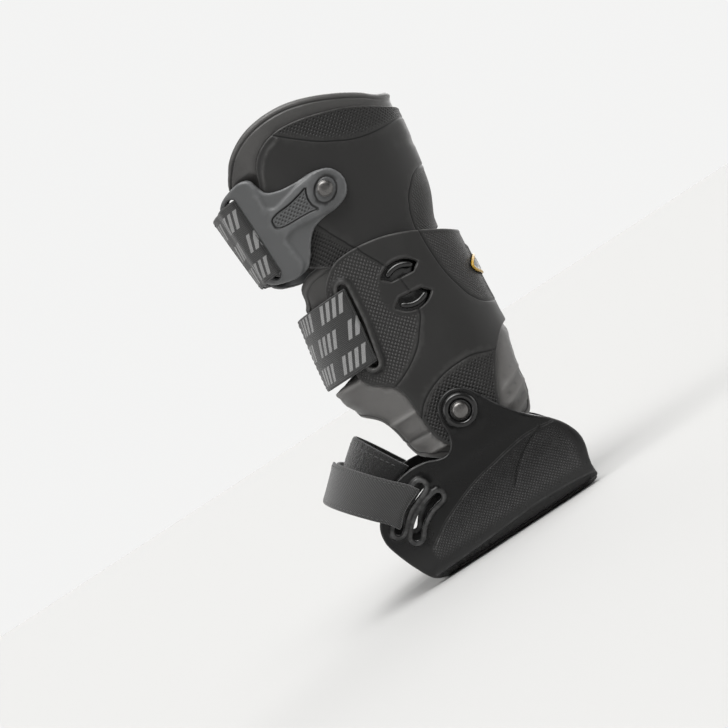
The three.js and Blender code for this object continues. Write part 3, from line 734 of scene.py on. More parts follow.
def moulded(name, value, roughness, warm=0.0, coat=0.0, grain=0.012, worn=1.7, gloss=0.4):
    """Moulded plastic: fine grain, smudges and dotted panels, with painted shade in its pits, grooves and
    seams, painted highlights on its dots, and edges made paler partly by wear and partly by painted
    highlights.
    """
    fixed = {"Coat_Weight": coat, "Coat_Roughness": 0.12, "Specular_IOR_Level": gloss}
    paint = Paint(name, grey(value, warm), roughness, **fixed)
    space, lengths = paint.space(), paint.lengths()
    smudge = paint.noise(space, 26, 4, 0.6)
    paint.bump(paint.noise(space, 0.32, 2), grain)
    lattice = paint.stretched(lengths, turn=DIAGONAL)
    relief = 0.0
    for size, weight in ((COARSE, "coarse"), (FINE, "fine")):
        dot = paint.math("SUBTRACT", paint.between(paint.cells(lattice, size, 0.04), 0.1, 0.5), 1.0)
        relief = paint.math("ADD", paint.times(dot, paint.weight(weight)), relief)
    paint.bump(relief, 0.4)
    # Painted shade in the sunk dots and a painted highlight on the raised ones.
    shade = paint.times(paint.between(relief, -1.0, 0.0, 0.3, 1.0), paint.between(relief, 0.0, 1.0, 1.0, 2.6))
    # Painted shade in the grooves and seams.
    shade = paint.times(shade, paint.between(paint.weight("groove"), 0.0, 1.0, 1.0, 0.12))
    # Paler edges and ridges: partly wear, partly painted highlights.
    edge = paint.times(paint.weight("worn"), paint.between(paint.noise(space, 3.5, 5), 0.35, 0.7, 0.35, 1))
    # The pale weight adds a painted reflection of the bright floor on the stirrup's lower part.
    edge = paint.math("ADD", edge, paint.weight("pale"))
    tone = paint.mix(smudge, grey(value * 0.88, warm), grey(value * 1.14, warm))
    tone = paint.scaled(paint.mix(edge, tone, grey(value * worn, warm)), shade)
    rough = paint.between(smudge, 0.3, 0.7, roughness - 0.05, roughness + 0.06)
    return paint.done(tone, paint.math("ADD", rough, paint.times(paint.math("ABSOLUTE", relief), 0.15)))


def foam(name, value):
    """The satin skin of moulded foam: leathery grain and soft creases, with painted highlights on its ridges
    and rims and painted shade in its grooves.
    """
    paint = Paint(name, grey(value, 0.03), 0.45, Sheen_Weight=0.1, Sheen_Roughness=0.5)
    space = paint.space()
    grains = paint.noise(space, 0.55, 3)
    creases = paint.noise(paint.stretched(space, z=2.2), 7, 4, 0.6)
    paint.bump(creases, 0.25).bump(grains, 0.03)
    tone = paint.mix(paint.noise(space, 18, 4), grey(value * 0.8, 0.03), grey(value * 1.25, 0.03))
    # Painted highlights on the ridges and rolled rims.
    tone = paint.mix(paint.weight("worn"), tone, grey(value * 1.7, 0.03))
    # Painted shade in the grooves and rim lines, and over the part under the calf cuff.
    tone = paint.scaled(tone, paint.between(paint.weight("groove"), 0.0, 1.0, 1.0, 0.2))
    return paint.done(tone, paint.between(creases, 0.3, 0.7, 0.36, 0.5))


def knit(paint, lengths, along, across):
    """Ribs along a band with a finer stitch across them."""
    weave = paint.times(paint.wave(lengths, along, "Y"), paint.wave(lengths, across, "X", 0.6))
    paint.bump(weave, 0.16)
    return weave


# The print: groups of slanted bars in rows, every other row moved on by half a group
ROW_PITCH, GROUP_PITCH, BAR_PITCH = 14.6, 25.0, 4.6
BAR_SLANT = 0.45


def printed_elastic():
    """Dark elastic webbing with a print of slanted bars."""
    value = 0.014
    paint = Paint("printed_elastic", grey(value), 0.85, Sheen_Weight=0.25, Sheen_Roughness=0.6)
    lengths = paint.lengths()
    weave = knit(paint, lengths, 0.9, 0.7)
    x, y = paint.node("SeparateXYZ", {"Vector": lengths}).outputs[:2]

    def off_middle(place, pitch, shift=None):
        """How far a place is from the middle of its pitch, in pitches."""
        share = paint.math("DIVIDE", place, pitch)
        share = share if shift is None else paint.math("ADD", share, shift)
        return paint.math("SUBTRACT", paint.math("FRACT", share), 0.5)

    row = paint.math("FLOOR", paint.math("DIVIDE", y, ROW_PITCH))
    shift = paint.times(paint.math("PINGPONG", row, 1.0), 0.5)
    across = paint.times(off_middle(y, ROW_PITCH), ROW_PITCH)
    along = paint.times(off_middle(x, GROUP_PITCH, shift), GROUP_PITCH)
    along = paint.math("ADD", along, paint.times(across, BAR_SLANT))
    bar = paint.math("ABSOLUTE", off_middle(along, BAR_PITCH))
    ink = paint.between(bar, 0.26, 0.3, 1, 0)
    for place, solid, end in ((across, 4.4, 4.8), (along, 8.8, 9.1)):
        ink = paint.times(ink, paint.between(paint.math("ABSOLUTE", place), solid, end, 1, 0))
    ink = paint.times(ink, paint.between(paint.noise(lengths, 0.5, 2), 0.3, 0.45, 0.72, 1))
    cloth = paint.mix(weave, grey(value * 0.5), grey(value * 1.5))
    return paint.done(paint.mix(ink, cloth, grey(0.23)), paint.between(ink, 0, 1, 0.88, 0.6))


def instep_webbing():
    value = 0.038
    paint = Paint("instep_webbing", grey(value), 0.9, Sheen_Weight=0.35, Sheen_Roughness=0.5)
    lengths = paint.lengths()
    weave = knit(paint, paint.stretched(lengths, turn=0.6), 1.0, 0.8)
    fluff = paint.noise(lengths, 1.6, 4, 0.7)
    paint.bump(fluff, 0.08)
    tone = paint.mix(weave, grey(value * 0.5), grey(value * 2.0))
    return paint.done(paint.mix(paint.between(fluff, 0.6, 0.8), tone, grey(value * 1.7)))


def loop_fabric():
    value = 0.011
    paint = Paint("loop_fabric", grey(value), 1.0, Sheen_Weight=0.5, Sheen_Roughness=0.45)
    space = paint.space()
    loops = paint.noise(space, 0.45, 4, 0.75)
    tufts = paint.noise(space, 2.2, 3)
    paint.bump(tufts, 0.7).bump(loops, 0.45)
    return paint.done(paint.mix(paint.between(loops, 0.45, 0.75), grey(value * 0.4), grey(value * 3.6)))


def grip_rubber():
    value = 0.03
    paint = Paint("grip_rubber", grey(value), 0.7)
    space = paint.space()
    tread = paint.between(paint.cells(paint.stretched(space, turn=DIAGONAL), 2.4), 0.28, 0.4, 1, 0)
    paint.bump(tread, 0.45).bump(paint.noise(space, 0.3, 2), 0.02)
    return paint.done(paint.mix(paint.noise(space, 12, 4), grey(value * 0.8), grey(value * 1.5)))


def rivet_metal():
    paint = Paint("rivet_metal", grey(0.15, 0.03), 0.34, 1.0)
    space = paint.space()
    rings = paint.noise(paint.stretched(space, y=6), 1.4, 4, 0.7)
    scuffs = paint.noise(space, 5, 5, 0.7)
    paint.bump(rings, 0.015)
    tone = paint.mix(scuffs, grey(0.1, 0.03), grey(0.2, 0.03))
    return paint.done(tone, paint.between(rings, 0.3, 0.7, 0.26, 0.42))


def thread():
    value = 0.05
    paint = Paint("thread", grey(value), 0.75, Sheen_Weight=0.3)
    twist = paint.noise(paint.space(), 0.25, 2)
    paint.bump(twist, 0.05)
    return paint.done(paint.mix(twist, grey(value * 0.6), grey(value * 1.4)))


def plate_plastic():
    """The back plate's dark face, with its rim in ochre."""
    paint = Paint("back_plate", grey(0.05), 0.4, Coat_Weight=0.3, Coat_Roughness=0.15)
    space = paint.space()
    paint.bump(paint.noise(space, 0.3, 2), 0.01)
    rim = paint.weight("rim")
    tone = paint.mix(paint.noise(space, 6, 3), grey(0.035), grey(0.05))
    ochre = paint.mix(paint.noise(space, 2, 4), (0.42, 0.24, 0.012), (0.52, 0.31, 0.02))
    return paint.done(paint.mix(rim, tone, ochre))


STIRRUP = moulded("stirrup_plastic", 0.0055, 0.25, grain=0.004, worn=14, gloss=0.26)
CUFF_PLASTIC = moulded("cuff_plastic", 0.02, 0.42, warm=0.02, worn=3.2, gloss=0.3)
ARM_PLASTIC = moulded("arm_plastic", 0.085, 0.43, warm=-0.02, gloss=0.4)
HUB_PLASTIC = moulded("hub_plastic", 0.006, 0.2, coat=0.3, grain=0.004)
# The same liner foam in two tones: a lit copy for the ankle pad and a darker, shaded copy for the calf pad.
LIT_LINER_FOAM = foam("liner_foam", 0.092)
SHADED_LINER_FOAM = foam("calf_foam_shaded", 0.05)
FOOTBED = foam("footbed_foam", 0.025)
ELASTIC = printed_elastic()
WEBBING = instep_webbing()
LOOPS = loop_fabric()
RUBBER = grip_rubber()
METAL = rivet_metal()
THREAD = thread()
PLATE = plate_plastic()


# ---------------------------------------------------------------- ankle cuff

CUFF_OUTLINE = [
    (-26.5, 163.5), (-20, 171), (-12, 175), (0, 175.6), (15, 173), (25, 169.5), (34, 165.5), (45, 160),
    (55, 155), (72, 152), (76, 126), (72, 99.5), (56, 99.5), (49, 99), (44, 97), (38, 92), (33, 86.5),
    (28, 79.5), (23.5, 71.5), (19.5, 63), (12, 56), (0, 53), (-11, 56), (-17, 63), (-19.5, 71), (-20, 82),
    (-20.3, 93), (-22.5, 101), (-28, 105.5), (-33.5, 110), (-36.3, 117), (-35, 130), (-31.5, 146),
]
CUFF_SLOT = [(-17.3, 160.6), (-19.5, 141), (-24.6, 118.7)]
SLOT_WIDTH = 4.6
WINDOW_RIM, WINDOW_SILL, WINDOW_HALF = 13.8, 5, 6.5  # a window's radius, and its foot's height and half width
HUB_TILT = math.radians(-6.5)
HINGE_PANEL = [
    (-24, 76), (-19, 81), (-15, 85.5), (-10, 89), (-3, 92), (5, 94), (14, 94.6), (22, 94), (30, 91),
    (38, 88.5), (44, 88),
]
FRONT_SEAM_TOP = [(0.5, 178), (2, 172), (7, 162), (9.5, 156)]
FRONT_SEAM_MIDDLE = [(11.5, 150), (12.5, 138)]
FRONT_SEAM_LOW = [(11.5, 131), (9.5, 126), (5, 120), (0, 114), (-8, 108), (-16, 104), (-25, 101)]
REAR_SEAM = [(34.5, 170), (33.5, 155), (34, 140), (36, 130), (39, 121), (44, 114.5), (52, 111)]


def about_hub(points, turn=0.0):
    """Points given about the lock hub, as side-view points."""
    a = HUB_TILT + turn
    x, z = np.asarray(points, float).T
    across, up = HUB[0] + x * math.cos(a) - z * math.sin(a), HUB[1] + x * math.sin(a) + z * math.cos(a)
    return np.stack([across, up], 1)


def window(turn):
    a = np.radians(np.linspace(38, 142, 14))
    arc = WINDOW_RIM * np.stack([np.cos(a), np.sin(a)], 1)
    return about_hub(np.vstack([arc, [(-WINDOW_HALF, WINDOW_SILL), (WINDOW_HALF, WINDOW_SILL)]]), turn)


def disc(centre, radius, count):
    a = np.linspace(0, 2 * math.pi, count, endpoint=False)
    return np.stack([centre[0] + radius * np.cos(a), centre[1] + radius * np.sin(a)], 1)


def line_on(surface, points):
    return surface.unroll(smooth(points))


def shell_wall(name, surface, region, lift, **weights):
    """A moulded cuff's wall, with the edges of its inner face slightly rounded."""
    outer = surface.at(*region.points.T, lift)
    inner = surface.at(*region.points.T, -SHELL - 0.4 * fillet(region.edge, 1.0))
    return wall(name, region, outer, inner, CUFF_PLASTIC, **weights)


def ankle_cuff_shell():
    outline = clip_seam(side_loop(cuff, CUFF_OUTLINE))
    slot = cuff.unroll(band(CUFF_SLOT, SLOT_WIDTH))
    windows = [cuff.unroll(window(turn)) for turn in (0, math.pi)]
    holes = [slot, *windows, cuff.unroll(disc(ANKLE, CUFF_HOLE, 20))]
    seam_lines = (HINGE_PANEL, FRONT_SEAM_TOP, FRONT_SEAM_MIDDLE, FRONT_SEAM_LOW, REAR_SEAM)
    seams = [line_on(cuff, line) for line in seam_lines]
    rings = (0.2, 0.5, 0.9, 1.4, 2.0, 2.6, 3.1, 3.5)
    region = Region(outline, holes, [(s, 0.9) for s in seams], spacing=2.4, rings=rings)
    p, edge = region.points, region.edge
    u, v = p.T
    seam, lit_seams = region.to(*seams), region.to(seams[0], seams[3])
    at_slot, at_window = region.to(slot, closed=True), region.to(*windows, closed=True)
    front = cuff.unroll([*FRONT_SEAM_TOP, *FRONT_SEAM_MIDDLE, *FRONT_SEAM_LOW, (-45, 96), (-45, 185)])
    hinge = panel(p, cuff.unroll([*HINGE_PANEL, (44, 45), (-30, 45)]))
    rear = panel(p, cuff.unroll([*REAR_SEAM, (90, 111), (90, 175)]))
    label = ease((11 - u) / 1.2) * ease((v - 110) / 1.2) * ease((146 - v) / 1.2)  # under the back plate
    keep_clear = ease((edge - 1.6) / 1.0)
    coarse = panel(p, front) * ease((at_slot - 4.2) / 1.5)
    coarse = coarse * ease((np.hypot(*(p - cuff.unroll([HUB])[0]).T) - 15.2) / 1.2) * keep_clear
    fine = np.maximum(hinge, rear) * (1 - label) * keep_clear
    pits = hinge * keep_clear
    behind = ease((u - (slot[:, 0].mean() - 8)) / 4)  # the part that the strap leaves bare
    lift = fillet(edge, 1.0)
    lift += bead(at_slot, 1.7, 1.6, 1.5) * behind
    lift += ridge(at_window, 1.1, 1.0, 0.45)
    lift -= ridge(seam, 0, 0.9, 0.6)
    lift -= DOTTED * np.maximum(coarse, fine)
    lift += 0.5 * label * ease(edge / 1.5)
    # Painted highlights on the edge, the slot's rim and beside the lit seams, with some wear.
    worn = ridge(edge, 0.4, 0.9) + 1.2 * behind * ridge(at_slot, 1.5, 1.3)
    worn += ridge(lit_seams, 0.95, 0.5, 0.7) * keep_clear
    # Painted shade in the seams and in a line beside the slot.
    groove = np.maximum(ridge(seam, 0, 0.6, core=1.1), 0.7 * behind * ridge(at_slot, 3.5, 0.5, core=1.1))
    weights = {"coarse": pits - coarse, "fine": (pits - 1) * fine, "worn": worn, "groove": groove}
    piece = shell_wall("ankle_shell", cuff, region, lift, **weights)
    place(piece, "ankle_cuff", "cuff_plastic", "ankle_cuff_shell")


# ---------------------------------------------------------------- calf cuff

CALF_OUTLINE = [
    (-24, 233), (-20, 241), (-12, 247), (-3, 249.6), (8, 249.2), (25, 245.2), (40, 240), (50, 235),
    (58, 231), (64, 229), (80, 227), (82, 195), (78, 164), (52, 163), (40, 160), (32, 153), (29.5, 141),
    (23, 130.5), (12.5, 127), (2, 130.5), (-4.5, 140), (-7, 152), (-11, 164), (-17, 173), (-25, 179),
    (-28.5, 184), (-29, 205), (-27.5, 223),
]
TOP_SEAM = [
    (-7, 252), (-4, 249), (5, 241), (15, 233), (22, 229), (30, 225), (40, 222.5), (50, 222), (63, 223.5),
    (72, 224),
]
CALF_REAR_SEAM = [(66, 196), (57, 195.5), (50, 193), (44, 188), (39, 182), (36, 175), (34, 168), (33.5, 160)]
CALF_FRONT_SEAM = [(-10, 197), (-5, 186), (0, 176), (5, 166)]
SHOULDER = [(-26, 219), (-22.5, 229), (-17.5, 237.5), (-11, 243), (-3, 245.5)]


def calf_cuff_shell():
    outline = clip_seam(side_loop(calf, CALF_OUTLINE))
    holes = [calf.unroll(disc(HUB, HUB_HOLE, 60)), calf.unroll(disc(ARM, ARM_HOLE, 20))]
    seams = [line_on(calf, s) for s in (TOP_SEAM, CALF_REAR_SEAM, CALF_FRONT_SEAM)]
    shoulder = line_on(calf, SHOULDER)
    region = Region(outline, holes, [(s, 0.9) for s in seams] + [(shoulder, 1.6)], spacing=2.6)
    p, edge = region.points, region.edge
    x = calf.at(*p.T)[:, 0]
    seam, at_shoulder = region.to(*seams), region.to(shoulder)
    top = panel(p, calf.unroll([*TOP_SEAM, (95, 224), (95, 262), (-7, 262)]))
    rear = panel(p, calf.unroll([*CALF_REAR_SEAM, (33, 155), (95, 155), (95, 196)]))
    front = panel(p, calf.unroll([*CALF_FRONT_SEAM, (2, 150), (-50, 150), (-50, 197)]))
    coarse = np.maximum(front, top) * ease((edge - 0.7) / 0.8)
    fine = rear * ease((edge - 1.6) / 1.0)
    bar = signed(p, calf.unroll(even(band([(52, 211.5), (60, 210)], 5.2), step=0.6, closed=True)))
    lift = fillet(edge, 1.0)
    lift -= ridge(seam, 0, 0.9, 0.65)
    lift -= DOTTED * np.maximum(coarse, fine)
    lift += ridge(at_shoulder, 0, 1.6, 0.6) * ease((x + 23) / 4)
    lift -= 0.7 * ease((-16 - x) / 7) * ease((p[:, 1] - 218) / 8)
    lift -= 0.35 * ease(bar / 0.8 + 0.5)
    # Painted highlights on the edge, beside the seams and along the shoulder, with some wear; painted shade
    # in the seams.
    worn = ridge(edge, 0.4, 0.9) + ridge(seam, 0.9, 0.5, 0.4) + ridge(at_shoulder, 0, 1.6, 1.1)
    weights = {"coarse": coarse, "fine": -fine, "worn": worn, "groove": ridge(seam, 0, 0.6, core=1.1)}
    piece = shell_wall("calf_shell", calf, region, lift, **weights)
    place(piece, "calf_cuff", "cuff_plastic", "calf_cuff_shell")


HOOK_REACH, HOOK_HALF = (12.6 + 9.2) / 2, (12.6 - 9.2) / 2  # a hook's middle radius and half width


def lock_hub(side, name):
    """The disc in the calf cuff's cheek, and the two glossy hooks that stand on it."""
    region = Region(calf.unroll(disc(HUB, HUB_RADIUS, 72)), spacing=2.2)
    p = region.points
    radius = np.hypot(*(p - calf.unroll([HUB])[0]).T)
    lift = fillet(region.edge, 0.8) - ridge(radius, 6.5, 1.2, 0.5)
    outer, inner = calf.at(*p.T, lift), calf.at(*p.T, -SHELL)
    # Edge paler from wear and a painted highlight.
    worn = ridge(region.edge, 0.4, 0.9, 0.6)
    plate = wall(f"hub_disc_{name}", region, outer, inner, HUB_PLASTIC, side, worn=worn)
    place(plate, "calf_cuff", "hub_plastic", f"lock_hub_{name}")
    hook(f"hub_hook_{name}_1", side, 0.0)
    hook(f"hub_hook_{name}_2", side, math.pi)


def hook(name, side, turn):
    """A tube along an arc about the hub, high on its outer side and closed at both ends."""
    angles = np.radians(np.linspace(46, 134, 40))
    spine = cuff.unroll(about_hub(HOOK_REACH * np.stack([np.cos(angles), np.sin(angles)], 1), turn))
    base = cuff.at(*spine.T, 0)
    out = cuff.at(*spine.T, 1) - base
    inward = np.cross(out, unit(np.gradient(base, axis=0)))
    swell = np.sqrt(np.clip(1 - (2 * np.linspace(0, 1, len(angles)) - 1) ** 8, 0.02, 1))
    section = np.linspace(0, 2 * math.pi, 20, endpoint=False)
    rings = []
    for b, o, w, s in zip(base, out, inward, swell):
        high = np.maximum(np.cos(section), -0.2) * 1.7 * s + np.minimum(np.cos(section) + 0.2, 0) * 3.4
        rings.append(b - o * 0.4 + np.outer(high, o) + np.outer(np.sin(section) * HOOK_HALF * s, w))
    vertices, n = mirrored(np.vstack(rings), side), len(section)
    faces = tube(len(rings), n) + [tuple(range(n)), tuple(range(len(vertices) - n, len(vertices)))[::-1]]
    place(make(name, vertices, faces, HUB_PLASTIC, vertices[:, [0, 2]]), "calf_cuff", "hub_plastic")


# ---------------------------------------------------------------- strap arms

ARM_OUTLINE = [
    (-46.8, 231.5), (-43.5, 235.5), (-37, 237.6), (-30.5, 238), (-26.6, 235.5), (-25, 230), (-23, 225.8),
    (-17, 223), (-8, 221.7), (4, 221.3), (12, 218), (15.3, 210), (12, 202), (4, 198.7), (-5, 198),
    (-12, 196), (-17.5, 190.5), (-21.5, 184.5), (-25.5, 180.6), (-31, 179.4), (-38, 181), (-44.5, 184.2),
    (-47, 188), (-47.3, 210),
]
ARM_SLOT = [(-40.2, 187.6), (-40, 209), (-40.2, 231)]
ARM_SLOT_WIDTH = 5.4
ARM_LIFT, ARM_THICK = 0.9, 3.4
EYE_RING = 6.3  # radius of the groove round the rivet
ARM_SPINE = [
    (-49, 240), (-30.5, 239), (-26.2, 235.5), (-25.6, 226), (-26, 219.5), (-23.5, 216.8), (-16, 218),
    (-8, 219.8), (-2, 220.6), (4.5, 221.5), (13, 217), (16.5, 210), (13, 203), (4.5, 198.5), (-4, 199.3),
    (-12, 200.2), (-22, 201.2), (-25.6, 199.5), (-25.8, 192), (-25.4, 184), (-28.5, 180.3), (-33, 178),
    (-50, 180),
]
INLAY = [
    (-28, 209.4), (-27.2, 206.6), (-24, 205.3), (-15, 204.6), (-8, 203.9), (-4.3, 203.1), (-5.9, 207),
    (-6.1, 210.4), (-5.2, 214), (-4, 216.6), (-9, 215.4), (-16, 214), (-24, 213.4), (-27.2, 212.2),
]


def strap_arm(side, name):
    """The lever that carries the calf strap, and the dimpled inlay in it."""
    outline, inlay, spine = [side_loop(calf, line) for line in (ARM_OUTLINE, INLAY, ARM_SPINE)]
    slot = calf.unroll(band(ARM_SLOT, ARM_SLOT_WIDTH))
    hole, ring = calf.unroll(disc(ARM, ARM_HOLE, 20)), calf.unroll(disc(ARM, EYE_RING, 48))
    loops = ((spine, 1.1), (inlay, 0.6), (ring, 0.6))
    creases = [(np.vstack([loop, loop[:1]]), width) for loop, width in loops]
    region = Region(outline, [slot, hole], creases, spacing=2.0)
    p = region.points
    radius = np.hypot(*(p - calf.unroll([ARM])[0]).T)
    on_spine, inset = signed(p, spine), signed(p, inlay)
    thick = 1.9 + 1.5 * ease(on_spine / 2.2 + 0.35)
    eye = ease((11.2 - radius) / 1.6)
    thick = thick * (1 - eye) + eye * 3.9
    thick -= 0.9 * ease(inset / 0.9 + 0.5)
    thick += ridge(region.to(slot, closed=True), 1.5, 1.4, 0.35) - ridge(radius, EYE_RING, 0.9, 0.7)
    outer, inner = calf.at(*p.T, ARM_LIFT + thick + fillet(region.edge, 1.1)), calf.at(*p.T, ARM_LIFT)
    # Painted highlights on the edge, the spine's ridge and the inlay's rim, with some wear.
    worn = ridge(region.edge, 0.5, 1.0) + ridge(on_spine, 1.2, 1.2, 0.7) * (1 - eye)
    worn += ridge(inset, -0.6, 0.6, 0.6)
    # Painted shade round the inlay and in the ring round the rivet.
    groove = np.maximum(ridge(inset, 0.3, 0.8, core=1.3), ridge(radius, EYE_RING, 0.6, 0.95, 1.3))
    piece = wall(f"arm_lever_{name}", region, outer, inner, ARM_PLASTIC, side, worn=worn, groove=groove)
    place(piece, "strap_arms", "arm_plastic", f"strap_arm_{name}")

    region = Region(moved(wound(inlay), 0.35), spacing=1.6, rings=(0.25, 0.6, 1.1))
    p, edge = region.points, region.edge
    outer = calf.at(*p.T, ARM_LIFT + ARM_THICK - 0.35 + fillet(edge, 0.6))
    inner = calf.at(*p.T, ARM_LIFT + 2.2)
    # Painted shade along the inlay panel's edge.
    weights = {"coarse": ease((edge - 0.7) / 0.5), "groove": ridge(edge, 0, 0.7)}
    piece = wall(f"arm_panel_{name}", region, outer, inner, ARM_PLASTIC, side, **weights)
    place(piece, "strap_arms", "grip_rubber", f"arm_inlay_{name}")


# ---------------------------------------------------------------- stirrup

STIRRUP_OUTLINE = [
    (-55, 0.2), (-60.5, 3.5), (-66, 14), (-70, 25), (-72, 34), (-70.5, 42), (-65.5, 49), (-58, 55),
    (-49, 59.5), (-39, 61), (-30, 60), (-24, 57.6), (-19, 57), (-15, 59.5), (-12.5, 65.5), (-12.2, 73),
    (-8.7, 81.6), (0, 85.2), (8.7, 81.6), (13.6, 74), (18.5, 65.5), (24.5, 57), (31.5, 49.5), (38.5, 43),
    (44, 35.5), (47.2, 27), (47, 20), (45, 13), (44, 7), (44.3, 2.5), (41.8, 0.2),
]
STRAP_SLOT = [(-62.5, 36.5), (-54, 44.5), (-40, 50.5)]
SPARE_SLOT = [(-56, 28.5), (-52.3, 33), (-47.2, 36.9), (-41.2, 39.6), (-35, 41)]
PAD_FRONT, PAD_DEPTH = -46.0, 2.0
PANEL_TOP = [
    (-52, 18), (-46, 22), (-40, 26), (-30, 30.5), (-20, 34.5), (-10, 37.5), (0, 39.5), (10, 41.5),
    (22, 43), (38, 41.5),
]
PANEL_REAR = [(38, 41.5), (42, 35), (43.5, 28), (43.2, 20), (41, 12)]
CREASE = [(31, 43), (20, 38), (10, 31), (3, 23)]
SKIRT = [(-58, 5), (-40, 5.8), (-10, 7.6), (10, 8.6), (30, 7.6), (43, 6)]


def floored(points, floor_lift):
    """Inner face of the stirrup: the walls in by their thickness, and the floor up over the grip pad."""
    out = points.copy()
    out[:, 2] += floor_lift * (1 - ease(points[:, 2] / 24))
    out[:, 1] += STIRRUP_WALL * np.clip(-points[:, 1] / 20, 0, 1)
    return out


def heel_stirrup():
    outline = np.vstack([stirrup.unroll(smooth(STIRRUP_OUTLINE, 0.8)), [(0, 41.8), (0, -55)]])
    slots = [stirrup.unroll(band(s, SLOT_WIDTH)) for s in (STRAP_SLOT, SPARE_SLOT)]
    hole = stirrup.unroll(disc(ANKLE, EAR_HOLE, 28))
    *seams, skirt = [line_on(stirrup, line) for line in (PANEL_TOP, PANEL_REAR, CREASE, SKIRT)]
    rings = (0.2, 0.45, 0.8, 1.3, 1.9, 2.5, 2.9, 3.2)
    creases = [(s, 0.9) for s in seams] + [(skirt, 1.2)]
    region = Region(outline, [*slots, hole], creases, spacing=2.6, rings=rings)
    p, edge = region.points, region.edge
    x, height = p[:, 1], stirrup.height(p[:, 0])
    at_slots, at_seams = region.to(*slots, closed=True), region.to(*seams[:2])
    at_top, at_crease, at_skirt = region.to(seams[0]), region.to(seams[2]), region.to(skirt)
    dotted = np.array([*PANEL_TOP, *PANEL_REAR[1:], (40, 6), (-55, 6)], float)
    fine = panel(np.stack([x, height], 1), dotted, 1.6) * ease((height - 9) / 6)
    fine *= ease((at_slots - 4) / 2) * ease((edge - 1.6) / 1.0)
    eye = np.hypot(x - ANKLE[0], height - ANKLE[1])
    lift = fillet(edge, 1.0)
    lift += bead(at_slots, 1.55, 1.5, 1.5) + ridge(at_slots, 0, 0.8, 0.9) - 0.25 * fine
    lift -= ridge(at_seams, 0, 0.9, 0.35) + ridge(at_crease, 0, 1.8, 0.5)
    lift += ridge(at_skirt, 0, 1.6) + ridge(eye, 11.2, 1.4, 0.35)
    lift += ridge(edge, 1.9, 1.5, 0.6) * ease((x - 24) / 6) * ease((height - 10) / 6)
    # Painted highlights on the edge, the slots' rims, the panel's top and the skirt, with some wear, and a
    # lighter dotted panel.
    worn = ridge(edge, 0.4, 0.9, 0.5) + ridge(at_slots, 1.5, 0.9, core=1.6) + 0.1 * fine
    worn += ridge(at_top, 0.5, 0.5, 0.8) + ridge(at_skirt, 0, 0.9, 0.7)
    # Painted reflection of the bright floor: lighter towards the bottom, and a little lighter in the dotted
    # panel.
    pale = 0.3 * ease((36 - height) / 32) + 0.06 * fine
    # Painted shade in the crease and in a line beside the slots.
    groove = np.maximum(ridge(at_crease, 0, 0.9, 0.85, 1.1), ridge(at_slots, 3.3, 0.5, 0.8, 1.2))
    outer = stirrup.at(*p.T, lift)
    inner = floored(stirrup.at(*p.T), PAD_DEPTH + STIRRUP_WALL)
    on_pad = ease((outer[:, 0] - PAD_FRONT + 0.4) / 0.4)
    outer[:, 2] = np.maximum(outer[:, 2], on_pad * (PAD_DEPTH + 0.35))
    outer[:, 2] = np.minimum(outer[:, 2], np.where(height < 3, inner[:, 2] - 1.2, 1e3))
    outer[:, 2] = np.maximum(outer[:, 2], 0.05)
    weights = {"fine": -fine, "worn": worn, "pale": pale, "groove": groove}
    piece = wall("stirrup_body", region, outer, inner, STIRRUP, **weights)
    place(piece, "foot", "stirrup_plastic", "heel_stirrup_shell")


def box_of(node):
    """The two corners of a CAD node's box."""
    return [np.array(corner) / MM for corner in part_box(node)]


def plan_region(half, xs, **spacing):
    """A region seen from above, from the middle line out to a half width at each x."""
    return Region(np.vstack([np.stack([half, xs], 1), [(0, xs[-1]), (0, xs[0])]]), **spacing)


def at_level(region, z):
    """The points of a plan region at a height."""
    u, v = region.points.T
    return np.stack([v, -u, np.broadcast_to(z, len(u))], 1)


def sole_pad():
    """The grip pad: a rubber plate under the heel, with a rounded edge and cross grooves."""
    low, high = box_of("sole_grip_pad")
    xs = np.linspace(low[0], high[0], 60)
    half = stirrup.half_width(xs, 0.2) - 0.6
    half = half * (1 - 0.35 * ease(1 - (high[0] - xs) / 9.0) ** 2)
    region = plan_region(half, xs, spacing=3.0, rings=(0.25, 0.6, 1.0))
    grooves = ridge(np.abs((region.points[:, 1] % 12) - 6), 0, 0.9, 0.5)
    bottom = -0.6 * fillet(region.edge, 0.8) + grooves * ease((region.edge - 4) / 1)
    piece = wall("grip_pad", region, at_level(region, bottom), at_level(region, PAD_DEPTH), RUBBER)
    place(piece, "foot", "grip_rubber", "sole_grip_pad")


def footbed():
    """A dished pad on the stirrup's floor, with a line round it and rounded ends."""
    low, high = box_of("footbed_pad")
    xs = np.linspace(low[0], high[0], 60)
    half = stirrup.half_width(xs, 3.0) - STIRRUP_WALL - 1.2
    half *= np.sqrt(np.clip(1 - np.clip((xs - high[0] + 24) / 26, 0, 1) ** 2.6, 0.05, 1))
    half *= np.sqrt(np.clip(1 - np.clip((low[0] + 12 - xs) / 14, 0, 1) ** 3, 0.05, 1))
    region = plan_region(half, xs, spacing=3.0)
    edge = region.edge
    upper = high[2] + fillet(edge, 1.4) - 0.9 * ease(edge / 22) - ridge(edge, 5, 1.0, 0.35)
    piece = wall("footbed", region, at_level(region, upper), at_level(region, low[2]), FOOTBED)
    place(piece, "foot", "liner_foam", "footbed_pad")


# ---------------------------------------------------------------- liners

